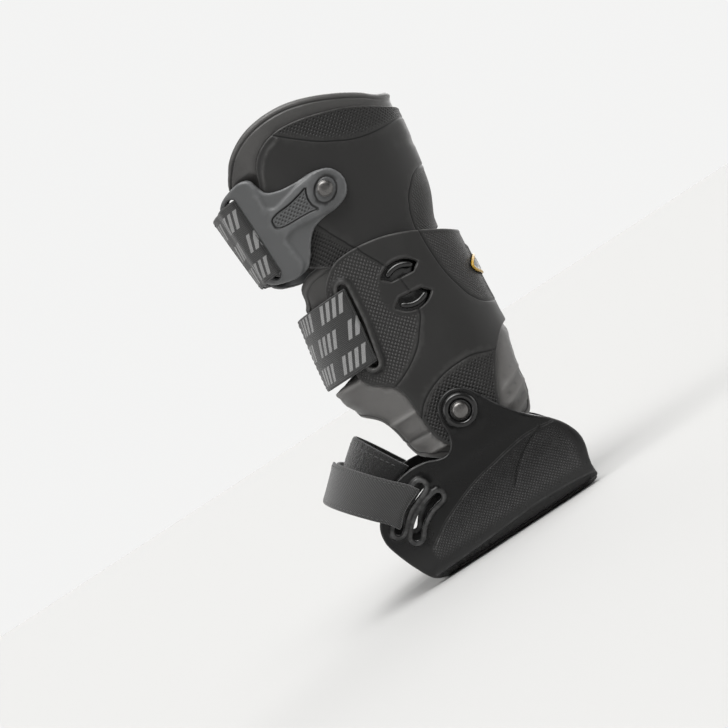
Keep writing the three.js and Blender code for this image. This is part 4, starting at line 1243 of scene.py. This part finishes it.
LINER_OUTLINE = [
    (-40.5, 165.5), (-35.5, 172.5), (-28, 176.4), (-18, 177.6), (0, 177.5), (12, 174), (23, 166.5),
    (34, 161.5), (50, 160), (72, 160), (74, 130), (72, 91), (52, 91), (48, 88.5), (45.5, 82), (43, 73),
    (41.5, 64), (38.5, 55.5), (34, 49), (26, 46.5), (8, 46), (-8, 47), (-20, 51.5), (-29, 57.5),
    (-34.5, 62.5), (-37, 71), (-38.3, 80), (-41.5, 88.5), (-48.5, 95), (-54.5, 101.5), (-60, 108),
    (-62, 118), (-58, 140), (-50, 158),
]
LINER_OPENING = 15.0  # half width of the ankle pad's opening at the shin
LINER_STEP = 117.5  # height at which the ankle pad steps in, under the calf cuff
LINER_RIDGE = [(-58, 115.5), (-50, 114.5), (-40, 113.6), (-30, 114)]
FRONT_RIBS = [[(-37, 85), (-16, 85)], [(-34, 62), (-14, 61)]]
FRONT_DENT = [(-36, 73), (-16, 71.5)]
REAR_RIBS = [[(44, 77), (24, 68)], [(42.5, 69), (24, 60.5)], [(40, 60.5), (24, 53)]]


PAD_RINGS = (0.3, 0.8, 1.5, 2.2, 2.7, 3.1, 3.5, 3.9, 4.3, 4.7, 5.1, 5.6)
PAD_RIM = 4.7  # the line beside the ankle pad's rolled edge


def pad_inset(edge, thick, roll):
    """How far a pad's outer and inner faces stand in from flat, with a rolled rim."""
    return thick / 2 * (1 - quarter_round(edge, roll))


def shown(surface, u, v, shell, reach):
    """x of a pad's points, and how far they stand out past the shell over it: 1 at that reach and beyond."""
    x = surface.at(u, v)[:, 0]
    return x, ease(-signed(np.stack([x, v], 1), smooth(shell, 2, closed=True)) / reach)


def ankle_liner():
    outline = clip_seam(side_loop(cuff, LINER_OUTLINE, y_stop=LINER_OPENING))
    lines = [line_on(cuff, s) for s in (*FRONT_RIBS, FRONT_DENT, *REAR_RIBS)]
    fold = line_on(cuff, LINER_RIDGE)
    region = Region(outline, (), [(s, 1.3) for s in lines] + [(fold, 1.8)], spacing=2.6, rings=PAD_RINGS)
    edge = region.edge
    u, v = region.points.T
    front_ribs, dent, rear_ribs = region.to(*lines[:2]), region.to(lines[2]), region.to(*lines[3:])
    step = ease((v - LINER_STEP + 1.9) / 3.2)
    calf_u = u * np.interp(v, calf.v, calf.full) / np.interp(v, cuff.v, cuff.full)

    def face(low_lift, high_lift):
        low, high = cuff.at(u, v, low_lift), calf.at(calf_u, v, high_lift)
        return low + (high - low) * step[:, None]

    rolled_low, rolled_high = pad_inset(edge, 7.4, 3.6), pad_inset(edge, 4.8, 2.4)
    x, bare = shown(cuff, u, v, CUFF_OUTLINE, 7)
    rear, inside = x > 20, ease((edge - 1.5) / 5)
    above_stirrup = 1 - ease((62 - v) / 4)
    crown = 1.9 * bare * ease(edge / 9) * (1 - step) * above_stirrup
    crown += 2.8 * ease((-38 - x) / 8) * ease((v - 100.5) / 9) * (1 - step) * ease(edge / 3.4)
    relief = 0.9 * bare * inside * ridge(front_ribs, 0, 2.2)
    relief -= 0.8 * bare * ridge(dent, 0, 2.0)
    relief += 0.9 * bare * rear * inside * ridge(rear_ribs, 0, 2.4)
    relief += 0.9 * bare * inside * ridge(region.to(fold), 0, 2.2)
    piping = ridge(edge, PAD_RIM, 0.8, 0.7)
    low_lift = LOW_PAD[0] - rolled_low + crown + relief - piping
    outer = face(low_lift, HIGH_PAD[0] - rolled_high + 0.6 * crown + relief - 0.7 * piping)
    inner = face(LOW_PAD[1] + rolled_low, HIGH_PAD[1] + rolled_high)
    # Painted highlights on the rolled rim, the raised relief and the front ribs.
    worn = ridge(edge, 3.3, 1.0, 0.5) * bare + 0.5 * relief.clip(0, 1)
    worn += 0.7 * bare * inside * ridge(front_ribs, 0, 1.3)
    # Painted shade in the rim line, over the part under the calf cuff, in the dent and beside the rear ribs.
    groove = np.maximum(ridge(edge, PAD_RIM, 0.5, 0.85, 1.3) * ease(bare * 6), 0.5 * step)
    groove = np.maximum(groove, 0.55 * bare * inside * ridge(dent, 0, 1.8))
    groove = np.maximum(groove, 0.5 * bare * rear * ridge(rear_ribs, 3.4, 1.6))
    piece = wall("ankle_pad", region, outer, inner, LIT_LINER_FOAM, worn=worn, groove=groove)
    place(piece, "ankle_cuff", "liner_foam", "ankle_cuff_liner")


CALF_LINER_OUTLINE = [
    (-33, 183), (-34, 200), (-35, 218), (-40.5, 231), (-41.8, 238), (-36, 247), (-28, 253.8),
    (-18, 258.4), (-6, 260.6), (8, 260.2), (22, 256.8), (38, 250.4), (50, 244.4), (58, 239.8), (74, 238),
    (78, 210), (76, 168), (54, 168), (40, 170), (28, 175), (16, 180.5), (0, 182),
]


def calf_liner():
    region = Region(clip_seam(side_loop(calf, CALF_LINER_OUTLINE)), spacing=2.6, rings=PAD_RINGS)
    edge = region.edge
    u, v = region.points.T
    x, bare = shown(calf, u, v, CALF_OUTLINE, 5)
    bare = bare * ease((v - 234) / 4)
    recess = ease((-23 - x) / 3) * ease((238 - v) / 2)
    under_arm = ease((-24 - x) / 6) * ease((251 - v) / 6)
    rolled = pad_inset(edge, 5.6, 2.9)
    outer = CALF_PAD[0] - 2.7 * recess - rolled * (1 - 0.4 * recess) + (1.6 - 1.1 * under_arm) * bare
    outer -= ridge(edge, 3.4, 1.0, 0.8) * bare
    inner = np.minimum(CALF_PAD[1] + rolled, outer - 0.4)
    # Painted highlight on the rolled rim and painted shade in the line beside it.
    worn = ridge(edge, 2.0, 1.2, 0.45) * bare
    groove = ridge(edge, 3.4, 0.6, 0.8, 1.2) * bare
    outer, inner = calf.at(u, v, outer), calf.at(u, v, inner)
    piece = wall("calf_pad", region, outer, inner, SHADED_LINER_FOAM, worn=worn, groove=groove)
    place(piece, "calf_cuff", "liner_foam", "calf_cuff_liner")


# ---------------------------------------------------------------- straps round the shin

CUFF_STRAP = {
    "surface": cuff, "table": CUFF_TABLE, "limit": FLAT, "low": 118.9, "high": 160.6,
    "slot": lambda z: -19.7 + (z - 141) * 0.15, "bar": lambda z: -25.5 + (z - 141) * 0.15,
    "nose": lambda z: -35.8 + (z - 141) * 0.24, "under": -3.45, "over": 1.3, "inner": -1.0, "lie": 1.1,
}
CALF_STRAP = {
    "surface": calf, "table": CALF_TABLE, "limit": 1e3, "low": 186.6, "high": 232,
    "slot": lambda z: -40.1, "bar": lambda z: -45.3, "nose": lambda z: -49.3,
    "under": -1.2, "over": ARM_LIFT + ARM_THICK + 1.2, "inner": -1.2, "lie": 0.9,
}
# Where a strap's two ends lie, as shares of the way from its bar to the middle of the shin
SEWN_END, TAB_END = 0.5, 1.2


def ring_at(strap, z):
    """Front, rear and half width of a cuff's ring at a height."""
    table = np.array(strap["table"]).T
    return [np.interp(z, table[0], column) for column in table[1:]]


def girth(strap, z, angle, grow):
    """A point of a cuff's ring at a height, grown by an offset."""
    front, rear, half = ring_at(strap, z)
    c, s = [math.copysign(abs(t) ** (2 / SQUARENESS), t) for t in (math.cos(angle), math.sin(angle))]
    limit = strap["limit"] + grow
    x, y = (front + rear) / 2 + ((rear - front) / 2 + grow) * c, (half + grow) * s
    return (x, min(max(y, -limit), limit), z)


def angle_at(strap, z, x, grow):
    front, rear, _ = ring_at(strap, z)
    share = min(max((x - (front + rear) / 2) / ((rear - front) / 2 + grow), -1), 1)
    return math.acos(math.copysign(abs(share) ** (SQUARENESS / 2), share))


def at_x(strap, z, x, grow, side):
    return girth(strap, z, side * angle_at(strap, z, x, grow), grow)


def over_bar(strap, z, start, side, end, count):
    """Webbing from a place on the bar, over its front edge and down on the strap."""
    nose = angle_at(strap, z, strap["nose"](z), strap["lie"])
    front = math.pi - nose
    points = [at_x(strap, z, x, strap["over"], side) for x in np.linspace(start, strap["nose"](z), 4)]
    angles = np.linspace(nose + front * 0.2, nose + front * end, count)
    return points + [girth(strap, z, side * a, strap["lie"]) for a in angles]


def strap_line(strap, z):
    """A strap's path: sewn down at the outer side, through both slots and round the inner bar to its end."""
    slot, front = strap["slot"](z), strap["nose"](z)
    under, over, inner = strap["under"], strap["over"], strap["inner"]
    nose = angle_at(strap, z, front, inner)
    rise = (math.pi - nose) * 0.2

    def inside(side):
        points = [at_x(strap, z, slot, (over + under) / 2, side)]
        return points + [at_x(strap, z, x, under, side) for x in (slot, (slot + front) / 2, front)]

    middle = [girth(strap, z, a, inner) for a in np.linspace(-nose - rise, nose + rise - 2 * math.pi, 11)]
    return [
        at_x(strap, z, slot, over - 0.2, LEFT), *inside(LEFT), *middle, *inside(RIGHT)[::-1],
        at_x(strap, z, slot, over, RIGHT), *over_bar(strap, z, strap["bar"](z), RIGHT, SEWN_END, 4),
    ]


def tab_line(strap, z):
    """The path of a strap's free end, from inside its slot, over the bar and on across the shin."""
    starts = ((0.4, -2.0), (-0.5, -0.3))
    first = [at_x(strap, z, strap["slot"](z) + x, strap["over"] + out, LEFT) for x, out in starts]
    return first + over_bar(strap, z, strap["bar"](z) + 2.2, LEFT, TAB_END, 9)


def rows_of(line, levels, step=1.1):
    lines = [catmull(line(z), per=8) for z in levels]
    count = int(gaps(lines[len(lines) // 2]).sum() / step)
    return np.array([even(points, count=count) for points in lines])


def selvedged(low, high, count=26):
    """Levels across a band, close together at its two edges."""
    t = np.linspace(0, 1, count)
    return low + (high - low) * (t - 0.14 * np.sin(2 * math.pi * t))


# A stitch, as a tube of 6 sides: share of its length, share of its radius, and share of its rise
STITCH = [(0.0, 0.35, 0.0), (0.12, 0.85, 0.6), (0.5, 1.0, 1.0), (0.88, 0.85, 0.6), (1.0, 0.35, 0.0)]
STITCH_RISE = 0.12


def stitches(name, sheet, paths, lift, length=2.1, gap=1.0, radius=0.24, face=1):
    """Rows of stitches on a face of a band. Each path is a list of (across, along) places on its sheet."""
    def spot(places):
        runs = (sheet.width, sheet.length)
        i, j = [np.interp(place, run, np.arange(len(run))) for place, run in zip(places.T, runs)]
        return bilinear(sheet.rows, i, j), bilinear(sheet.normal, i, j) * face

    vertices, faces = [], []
    ring, fine_step = np.radians(np.arange(0, 360, 60)), 0.25
    for path in paths:
        path = np.asarray(path, float)
        marks = even(path, step=fine_step)
        for start in np.arange(0, gaps(path).sum() - length, length + gap):
            ends = [min((start + share * length) / fine_step, len(marks) - 1) for share, _, _ in STITCH]
            at, out = spot(marks[np.array(ends).astype(int)])
            direction = at[-1] - at[0]
            direction /= max(np.linalg.norm(direction), 1e-9)
            base = len(vertices)
            for p, o, (_, size, rise) in zip(at, out, STITCH):
                across = np.cross(direction, o)
                for a in ring:
                    offset = math.cos(a) * across + math.sin(a) * o
                    vertices.append(p + o * (lift + STITCH_RISE * rise) + offset * radius * size)
            last = len(vertices) - len(ring)
            faces += tube(len(STITCH), len(ring), base)
            faces += [tuple(range(base, base + len(ring)))[::-1], tuple(range(last, last + len(ring)))]
    vertices = np.array(vertices)
    return make(name, vertices, faces, THREAD, vertices[:, [0, 2]])


def box_stitch(low, high, start, end):
    """A sewn box with its two diagonals."""
    a, b, c, d = (low, start), (high, start), (high, end), (low, end)
    return [[a, b, c, d, a], [a, c], [b, d]]


def fold_span(joint, reach):
    """Two points that straddle a peel hinge, square to its axis, from the bar side to the free side."""
    return JOINTS[joint] - np.array(reach) * MM, JOINTS[joint] + np.array(reach) * MM


def shin_strap(name, strap, body, joint, nodes):
    """A strap round the shin, its loose end, and the sewing on both."""
    levels = selvedged(strap["low"], strap["high"])
    piece, sheet = webbing(f"{name}_band", rows_of(lambda z: strap_line(strap, z), levels), ELASTIC)
    place(piece, body, "printed_elastic", nodes[0])
    end, far = sheet.length[-1], sheet.width[-1]
    sewing = stitches(f"{name}_sewing", sheet, box_stitch(3, far - 3, end - 14, end - 3), 0.75)
    place(sewing, body, "printed_elastic")
    tab, sheet = webbing(f"{name}_flap", rows_of(lambda z: tab_line(strap, z), levels), ELASTIC)
    place(tab, None, "printed_elastic", nodes[1])
    end, far, margin = sheet.length[-1], sheet.width[-1], 2.2
    start, stop = end - 16, end - 2.4
    path = [(margin, start), (margin, stop), (far - margin, stop), (far - margin, start), (margin, start)]
    seam = stitches(f"{name}_flap_sewing", sheet, [path], 0.75, face=-1)
    place(seam, None, "printed_elastic")
    start, finish = fold_span(joint, (-1.6, 0, 0))
    for piece in (tab, seam):
        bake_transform(piece)


# ---------------------------------------------------------------- instep strap

RIDGE = [(-70, 84), (-89, 66.5)]  # the strap's highest line, from its rear edge to its front edge
INSTEP_LIFT = 2.2  # how far the strap's ends lie over it
ARCH_POWER = 0.8
OUT_OF_SLOT = np.array([-0.52, 0, 0.85])
OFF_INSTEP = np.array([-0.68, 0, 0.73])
BAR_MIDDLE = 4.4  # from the slot's middle to the middle of the bar over it
TONGUE_FOOT, TONGUE_RIDGE, TONGUE_HALF = [(-39, 62), (-53, 57)], [(-55, 90), (-72, 76)], 33
slot_curve = even(catmull(STRAP_SLOT[::-1], per=30), count=101)


def slot_point(share):
    """A place along the strap's slot, on the middle plane."""
    x, z = slot_curve[int(round(share * 100))]
    return np.array([x, 0, z])


def between(ends, share):
    """A place between two side-view points, on the middle plane."""
    (x0, z0), (x1, z1) = ends
    return np.array([x0 + (x1 - x0) * share, 0, z0 + (z1 - z0) * share])


def arch(base, half, top, start, end, count):
    """Points of an arch from a foot at one side, over its ridge, and down the other side."""
    points = []
    for a in np.radians(np.linspace(start, end, count)):
        rise = abs(math.sin(a)) ** ARCH_POWER
        spread = math.copysign(abs(math.cos(a)) ** ARCH_POWER, math.cos(a))
        point = base * (1 - rise) + top * rise
        points.append((point[0], -half * spread, point[2]))
    return points


def rim_half(bar):
    """Half width at which the strap lies over the stirrup's rim."""
    return stirrup.half_width(bar[0], bar[2] + 4) + 1.75


def beside(slot, places):
    """Points by a slot, each given as a half width and a length out of the slot."""
    return [tuple(slot + OUT_OF_SLOT * out + (0, y, 0)) for y, out in places]


def ridge_at(share, lift):
    """A place on the strap's highest line."""
    return between(RIDGE, share) + OFF_INSTEP * lift


def instep_line(share):
    """The strap's path: in at the outer slot, over the instep, out at the inner slot and back on itself."""
    slot = slot_point(share)
    bar = slot + OUT_OF_SLOT * BAR_MIDDLE
    outside = rim_half(bar)
    inside = stirrup.half_width(slot[0], slot[2] - 4.4) - STIRRUP_WALL - 1.35
    middle = (outside + inside) / 2
    return [
        *beside(slot, ((-outside + 0.3, 0.6), (-middle, 0), (-inside, 0))),
        *arch(slot, inside - 0.6, ridge_at(share, 0), 14, 166, 15),
        *beside(slot, ((inside, 0), (middle, 0), (outside, 0), (outside, BAR_MIDDLE))),
        *arch(bar, outside, ridge_at(share, INSTEP_LIFT), 165, 132, 4),
    ]


def instep_tab_line(share):
    """The path of the free end, round the outer bar and over the instep."""
    slot = slot_point(share)
    bar = slot + OUT_OF_SLOT * BAR_MIDDLE
    outside = rim_half(bar)
    starts = ((-outside + 2.2, -0.4), (-outside + 0.2, 0.6), (-outside, 2.6), (-outside, BAR_MIDDLE + 1.1))
    return [*beside(slot, starts), *arch(bar, outside, ridge_at(share, INSTEP_LIFT), 10, 97, 12)]


def tongue_line(share):
    return catmull(arch(between(TONGUE_FOOT, share), TONGUE_HALF, between(TONGUE_RIDGE, share), 0, 180, 17))


def instep_pieces():
    """The strap, its free end with the corners drawn in, the tongue, and the sewing on the last two."""
    shares = selvedged(0.05, 0.95, 20)
    strap, _ = webbing("instep_band", rows_of(instep_line, shares), WEBBING)
    place(strap, "foot", "instep_webbing", "instep_strap")
    rows = rows_of(instep_tab_line, shares)
    count, middle, corner = rows.shape[1], rows.mean(0), 14
    shrink = 1 - 0.22 * ease((np.arange(count) - count + corner) / corner) ** 2
    tab, sheet = webbing("instep_flap", middle + (rows - middle) * shrink[None, :, None], WEBBING, 1.8)
    place(tab, None, "instep_webbing", "instep_strap_tab")
    end, far = sheet.length[-1], sheet.width[-1]
    path = [(1.8, 8), (1.8, end - 14), (4.2, end - 2.2)]
    path += [(far - across, along) for across, along in path[::-1]]
    seam = stitches("instep_flap_sewing", sheet, [path], 0.85, 1.6, 0.9, 0.2)
    place(seam, None, "instep_webbing")
    for piece in (tab, seam):
        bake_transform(piece)
    count = len(even(tongue_line(0), step=1.6))
    rows = np.array([even(tongue_line(share), count=count) for share in selvedged(0, 1, 16)])
    tongue, sheet = webbing("instep_pad", rows, LOOPS, 2.8, bulge=0.5)
    place(tongue, "foot", "loop_fabric", "instep_tongue")
    end, far = sheet.length[-1], sheet.width[-1]
    paths = [[(far * share, 6), (far * share, end - 6)] for share in (0.2, 0.86)]
    place(stitches("instep_pad_sewing", sheet, paths, 1.6, 2.2, 1.0, 0.25), "foot", "loop_fabric")


# ---------------------------------------------------------------- hinges, rivets and the back plate

HINGE_SEAT, ARM_SEAT = CHEEK + GAP + 0.8 + GAP, 53.9  # where the rivets' heads rest
HINGE_TAIL, ARM_TAIL = 42.8, 45.0  # where their tails rest


def dome(head, height, steps=9):
    a = np.linspace(0, math.pi / 2, steps)
    return [(head * math.cos(t) ** 0.75, height * math.sin(t) ** 0.9) for t in a]


def rivet(part, name, centre, heads, seat, height, tail, side, body):
    """A rivet: a domed head with a thin rolled edge on a shank, and the flat head of its tail.

    heads holds the radii of the two heads, and seat and tail are the half widths where they rest.
    """
    head, tail_head = heads
    crown = [(r, seat + 0.5 + h) for r, h in dome(head - 0.35, height)][:-1]
    shank = [(2.4, seat - 5), (2.4, seat), (head - 0.3, seat), (head, seat + 0.2), (head, seat + 0.5)]
    profile = [*shank, *crown, (0.02, seat + 0.5 + height)]
    piece = turned(f"{part}_head_{name}", centre, profile, side, METAL)
    place(piece, body, "rivet_metal", f"{part}_rivet_{name}")
    profile = [(0.02, tail - 1), (tail_head, tail - 1), (tail_head, tail), (2.5, tail), (2.5, tail + 5)]
    place(turned(f"{part}_tail_{name}", centre, rounded(profile, 0.3), side, METAL), body, "rivet_metal")


def hinge_pieces(side, name):
    """The flanged eyelet in a stirrup ear, its rivet and the washer behind it."""
    face, inner, washer = CHEEK + GAP, 47.7, 43.15
    eyelet = rounded([
        (3.1, inner), (4.4, inner), (4.4, face), (9.4, face), (9.6, face + 1.0), (8.6, face + 2.2),
        (7.4, face + 2.5), (6.3, face + 2.0), (5.7, face + 0.8), (3.1, face + 0.8),
    ], 0.9, 5)
    bushing = turned(f"hinge_eyelet_{name}", ANKLE, eyelet, side, HUB_PLASTIC, 80)
    place(bushing, "foot", "hub_plastic", f"hinge_bushing_{name}")
    rivet("hinge", name, ANKLE, (4.75, 4.0), HINGE_SEAT, 1.9, HINGE_TAIL, side, "foot")
    ring = rounded([(3, washer), (6.5, washer), (6.5, 44.4), (3, 44.4), (3, washer)], 0.2)
    piece = turned(f"hinge_ring_{name}", ANKLE, ring, side, METAL)
    place(piece, "foot", "rivet_metal", f"hinge_washer_{name}")


def back_plate():
    """A plain oval plate on the back, with an ochre rim and three slanted bars."""
    low, high = box_of("ankle_cuff_back_plate")
    half, tall, middle = high[1], (high[2] - low[2]) / 2, (high[2] + low[2]) / 2
    a = np.linspace(0, 2 * math.pi, 120, endpoint=False)

    def oval(half_width, half_height):
        return clip_seam(np.stack([half_width * np.cos(a), middle + half_height * np.sin(a)], 1))

    rim = oval(half + 0.3, tall - 1.2)
    crease = even(rim[rim[:, 0] > 0.01], step=1.0)
    rings = (0.2, 0.45, 0.8, 1.3)
    region = Region(oval(half + 1.5, tall), (), [(crease, 0.5)], spacing=1.4, edge=0.8, rings=rings)
    u, v = region.points.T
    edge = region.edge
    ring_share = ease((1.35 - edge) / 0.25)
    slant = (v - middle) * 0.4
    bars = np.max([ease((1.5 - np.abs(u - slant - centre)) / 0.4) for centre in (-6.4, 0.0, 6.4)], axis=0)
    bars *= ease((3.2 - np.abs(v - middle)) / 0.4)
    lift = 1.5 + fillet(edge, 0.7) + 0.25 * ring_share - 0.3 * (1 - ring_share) * ease((edge - 1.3) / 0.3)
    lift += 0.3 * bars
    piece = wall("back_badge", region, cuff.at(u, v, lift), cuff.at(u, v, 0.55), PLATE, rim=ring_share)
    place(piece, "ankle_cuff", "plate_plastic", "ankle_cuff_back_plate")


# ---------------------------------------------------------------- stage

VIEW_RIGHT = Vector((0.838, 0, -0.546)).normalized()  # the camera is rolled, as the leg leans in the view
VIEW_UP = Vector((0.546, 0, 0.838)).normalized()
TARGET = Vector((-29.3, 0, 121.2)) * MM


# Lit panels: direction, radius of the even part and of the whole, in degrees, and strength
PANELS = [
    ((-0.5, 0.85, 0.35), 18, 36, 4.4),
    ((-0.95, 0.0, 0.3), 8, 22, 2.4),
    ((0.8, 0.5, -0.1), 10, 30, 1.3),
    ((0.0, 0.6, -0.9), 14, 40, 2.4),
    ((-0.5, -0.15, 0.85), 6, 26, 0.8),
]


def in_view(direction):
    """A direction given as right, up and towards the viewer, in the row frame."""
    right, up, towards = direction
    return (VIEW_RIGHT * right + VIEW_UP * up + Vector((0, -1, 0)) * towards).normalized()


def stage():
    """A plain pale floor, just under the sole."""
    floor = bpy.data.meshes.new("floor")
    corners = [(-7, -7, 0), (7, -7, 0), (7, 7, 0), (-7, 7, 0)]
    floor.from_pydata(corners, [], [(0, 1, 2, 3)])
    floor.materials.append(Paint("floor", (0.5, 0.5, 0.497), 1.0, Specular_IOR_Level=0.0).material)
    ground = link_up(bpy.data.objects.new("floor", floor))
    ground.location.z = -0.0004
    bpy.context.scene.world = studio()
    bpy.context.scene.view_settings.view_transform = "Standard"


def studio():
    """Soft light from broad pale panels all round, in front of a plain pale background."""
    world = bpy.data.worlds.new("studio")
    world.use_nodes = True
    nodes = Nodes(world.node_tree)
    look = nodes.node("TexCoord").outputs["Generated"]
    total = 0.2
    for direction, inner, outer, power in PANELS:
        facing = nodes.node("VectorMath", (look, in_view(direction)), operation="DOT_PRODUCT")
        limits = [math.cos(math.radians(angle)) for angle in (outer, inner)]
        total = nodes.math("ADD", nodes.between(facing.outputs["Value"], *limits, 0.0, power), total)
    soft = nodes.node("Background", ((1.0, 0.995, 0.985, 1), total))
    seen = nodes.node("Background", ((0.9, 0.9, 0.895, 1), 1.0))
    camera_ray = nodes.node("LightPath").outputs["Is Camera Ray"]
    mixed = nodes.node("MixShader", (camera_ray, soft.outputs[0], seen.outputs[0]))
    nodes.feed(world.node_tree.nodes["World Output"].inputs["Surface"], mixed.outputs[0])
    return world


def camera():
    lens = bpy.data.cameras.new("camera")
    lens.lens, lens.sensor_width = 100, 36
    eye = link_up(bpy.data.objects.new("camera", lens))
    rows = Matrix((VIEW_RIGHT, VIEW_UP, VIEW_RIGHT.cross(VIEW_UP))).transposed()
    eye.matrix_world = Matrix.Translation(TARGET + Vector((0, -1.12, 0))) @ rows.to_4x4()
    bpy.context.scene.camera = eye


def sun(name, direction, strength):
    """A broad soft lamp far away."""
    made = bpy.data.lights.new(name, "SUN")
    made.energy, made.angle = strength, math.radians(24)
    holder = link_up(bpy.data.objects.new(name, made))
    holder.rotation_euler = in_view(direction).to_track_quat("Z", "Y").to_euler()


stage()
camera()
sun("key", (-0.5, 0.85, 0.5), 0.8)

heel_stirrup()
sole_pad()
footbed()
ankle_cuff_shell()
ankle_liner()
calf_cuff_shell()
calf_liner()
back_plate()
for each_side, each_name in ((LEFT, "left"), (RIGHT, "right")):
    lock_hub(each_side, each_name)
    strap_arm(each_side, each_name)
    hinge_pieces(each_side, each_name)
    rivet("arm", each_name, ARM, (4.4, 4.2), ARM_SEAT, 1.4, ARM_TAIL, each_side, "calf_cuff")
for each_name, strap_data, strap_body, place_name in (
    ("shin_strap", CUFF_STRAP, "ankle_cuff", "ankle"), ("calf_strap_web", CALF_STRAP, "strap_arms", "calf"),
):
    nodes = (f"{place_name}_strap", f"{place_name}_strap_tab")
    shin_strap(each_name, strap_data, strap_body, f"{place_name}_strap_peel", nodes)
instep_pieces()
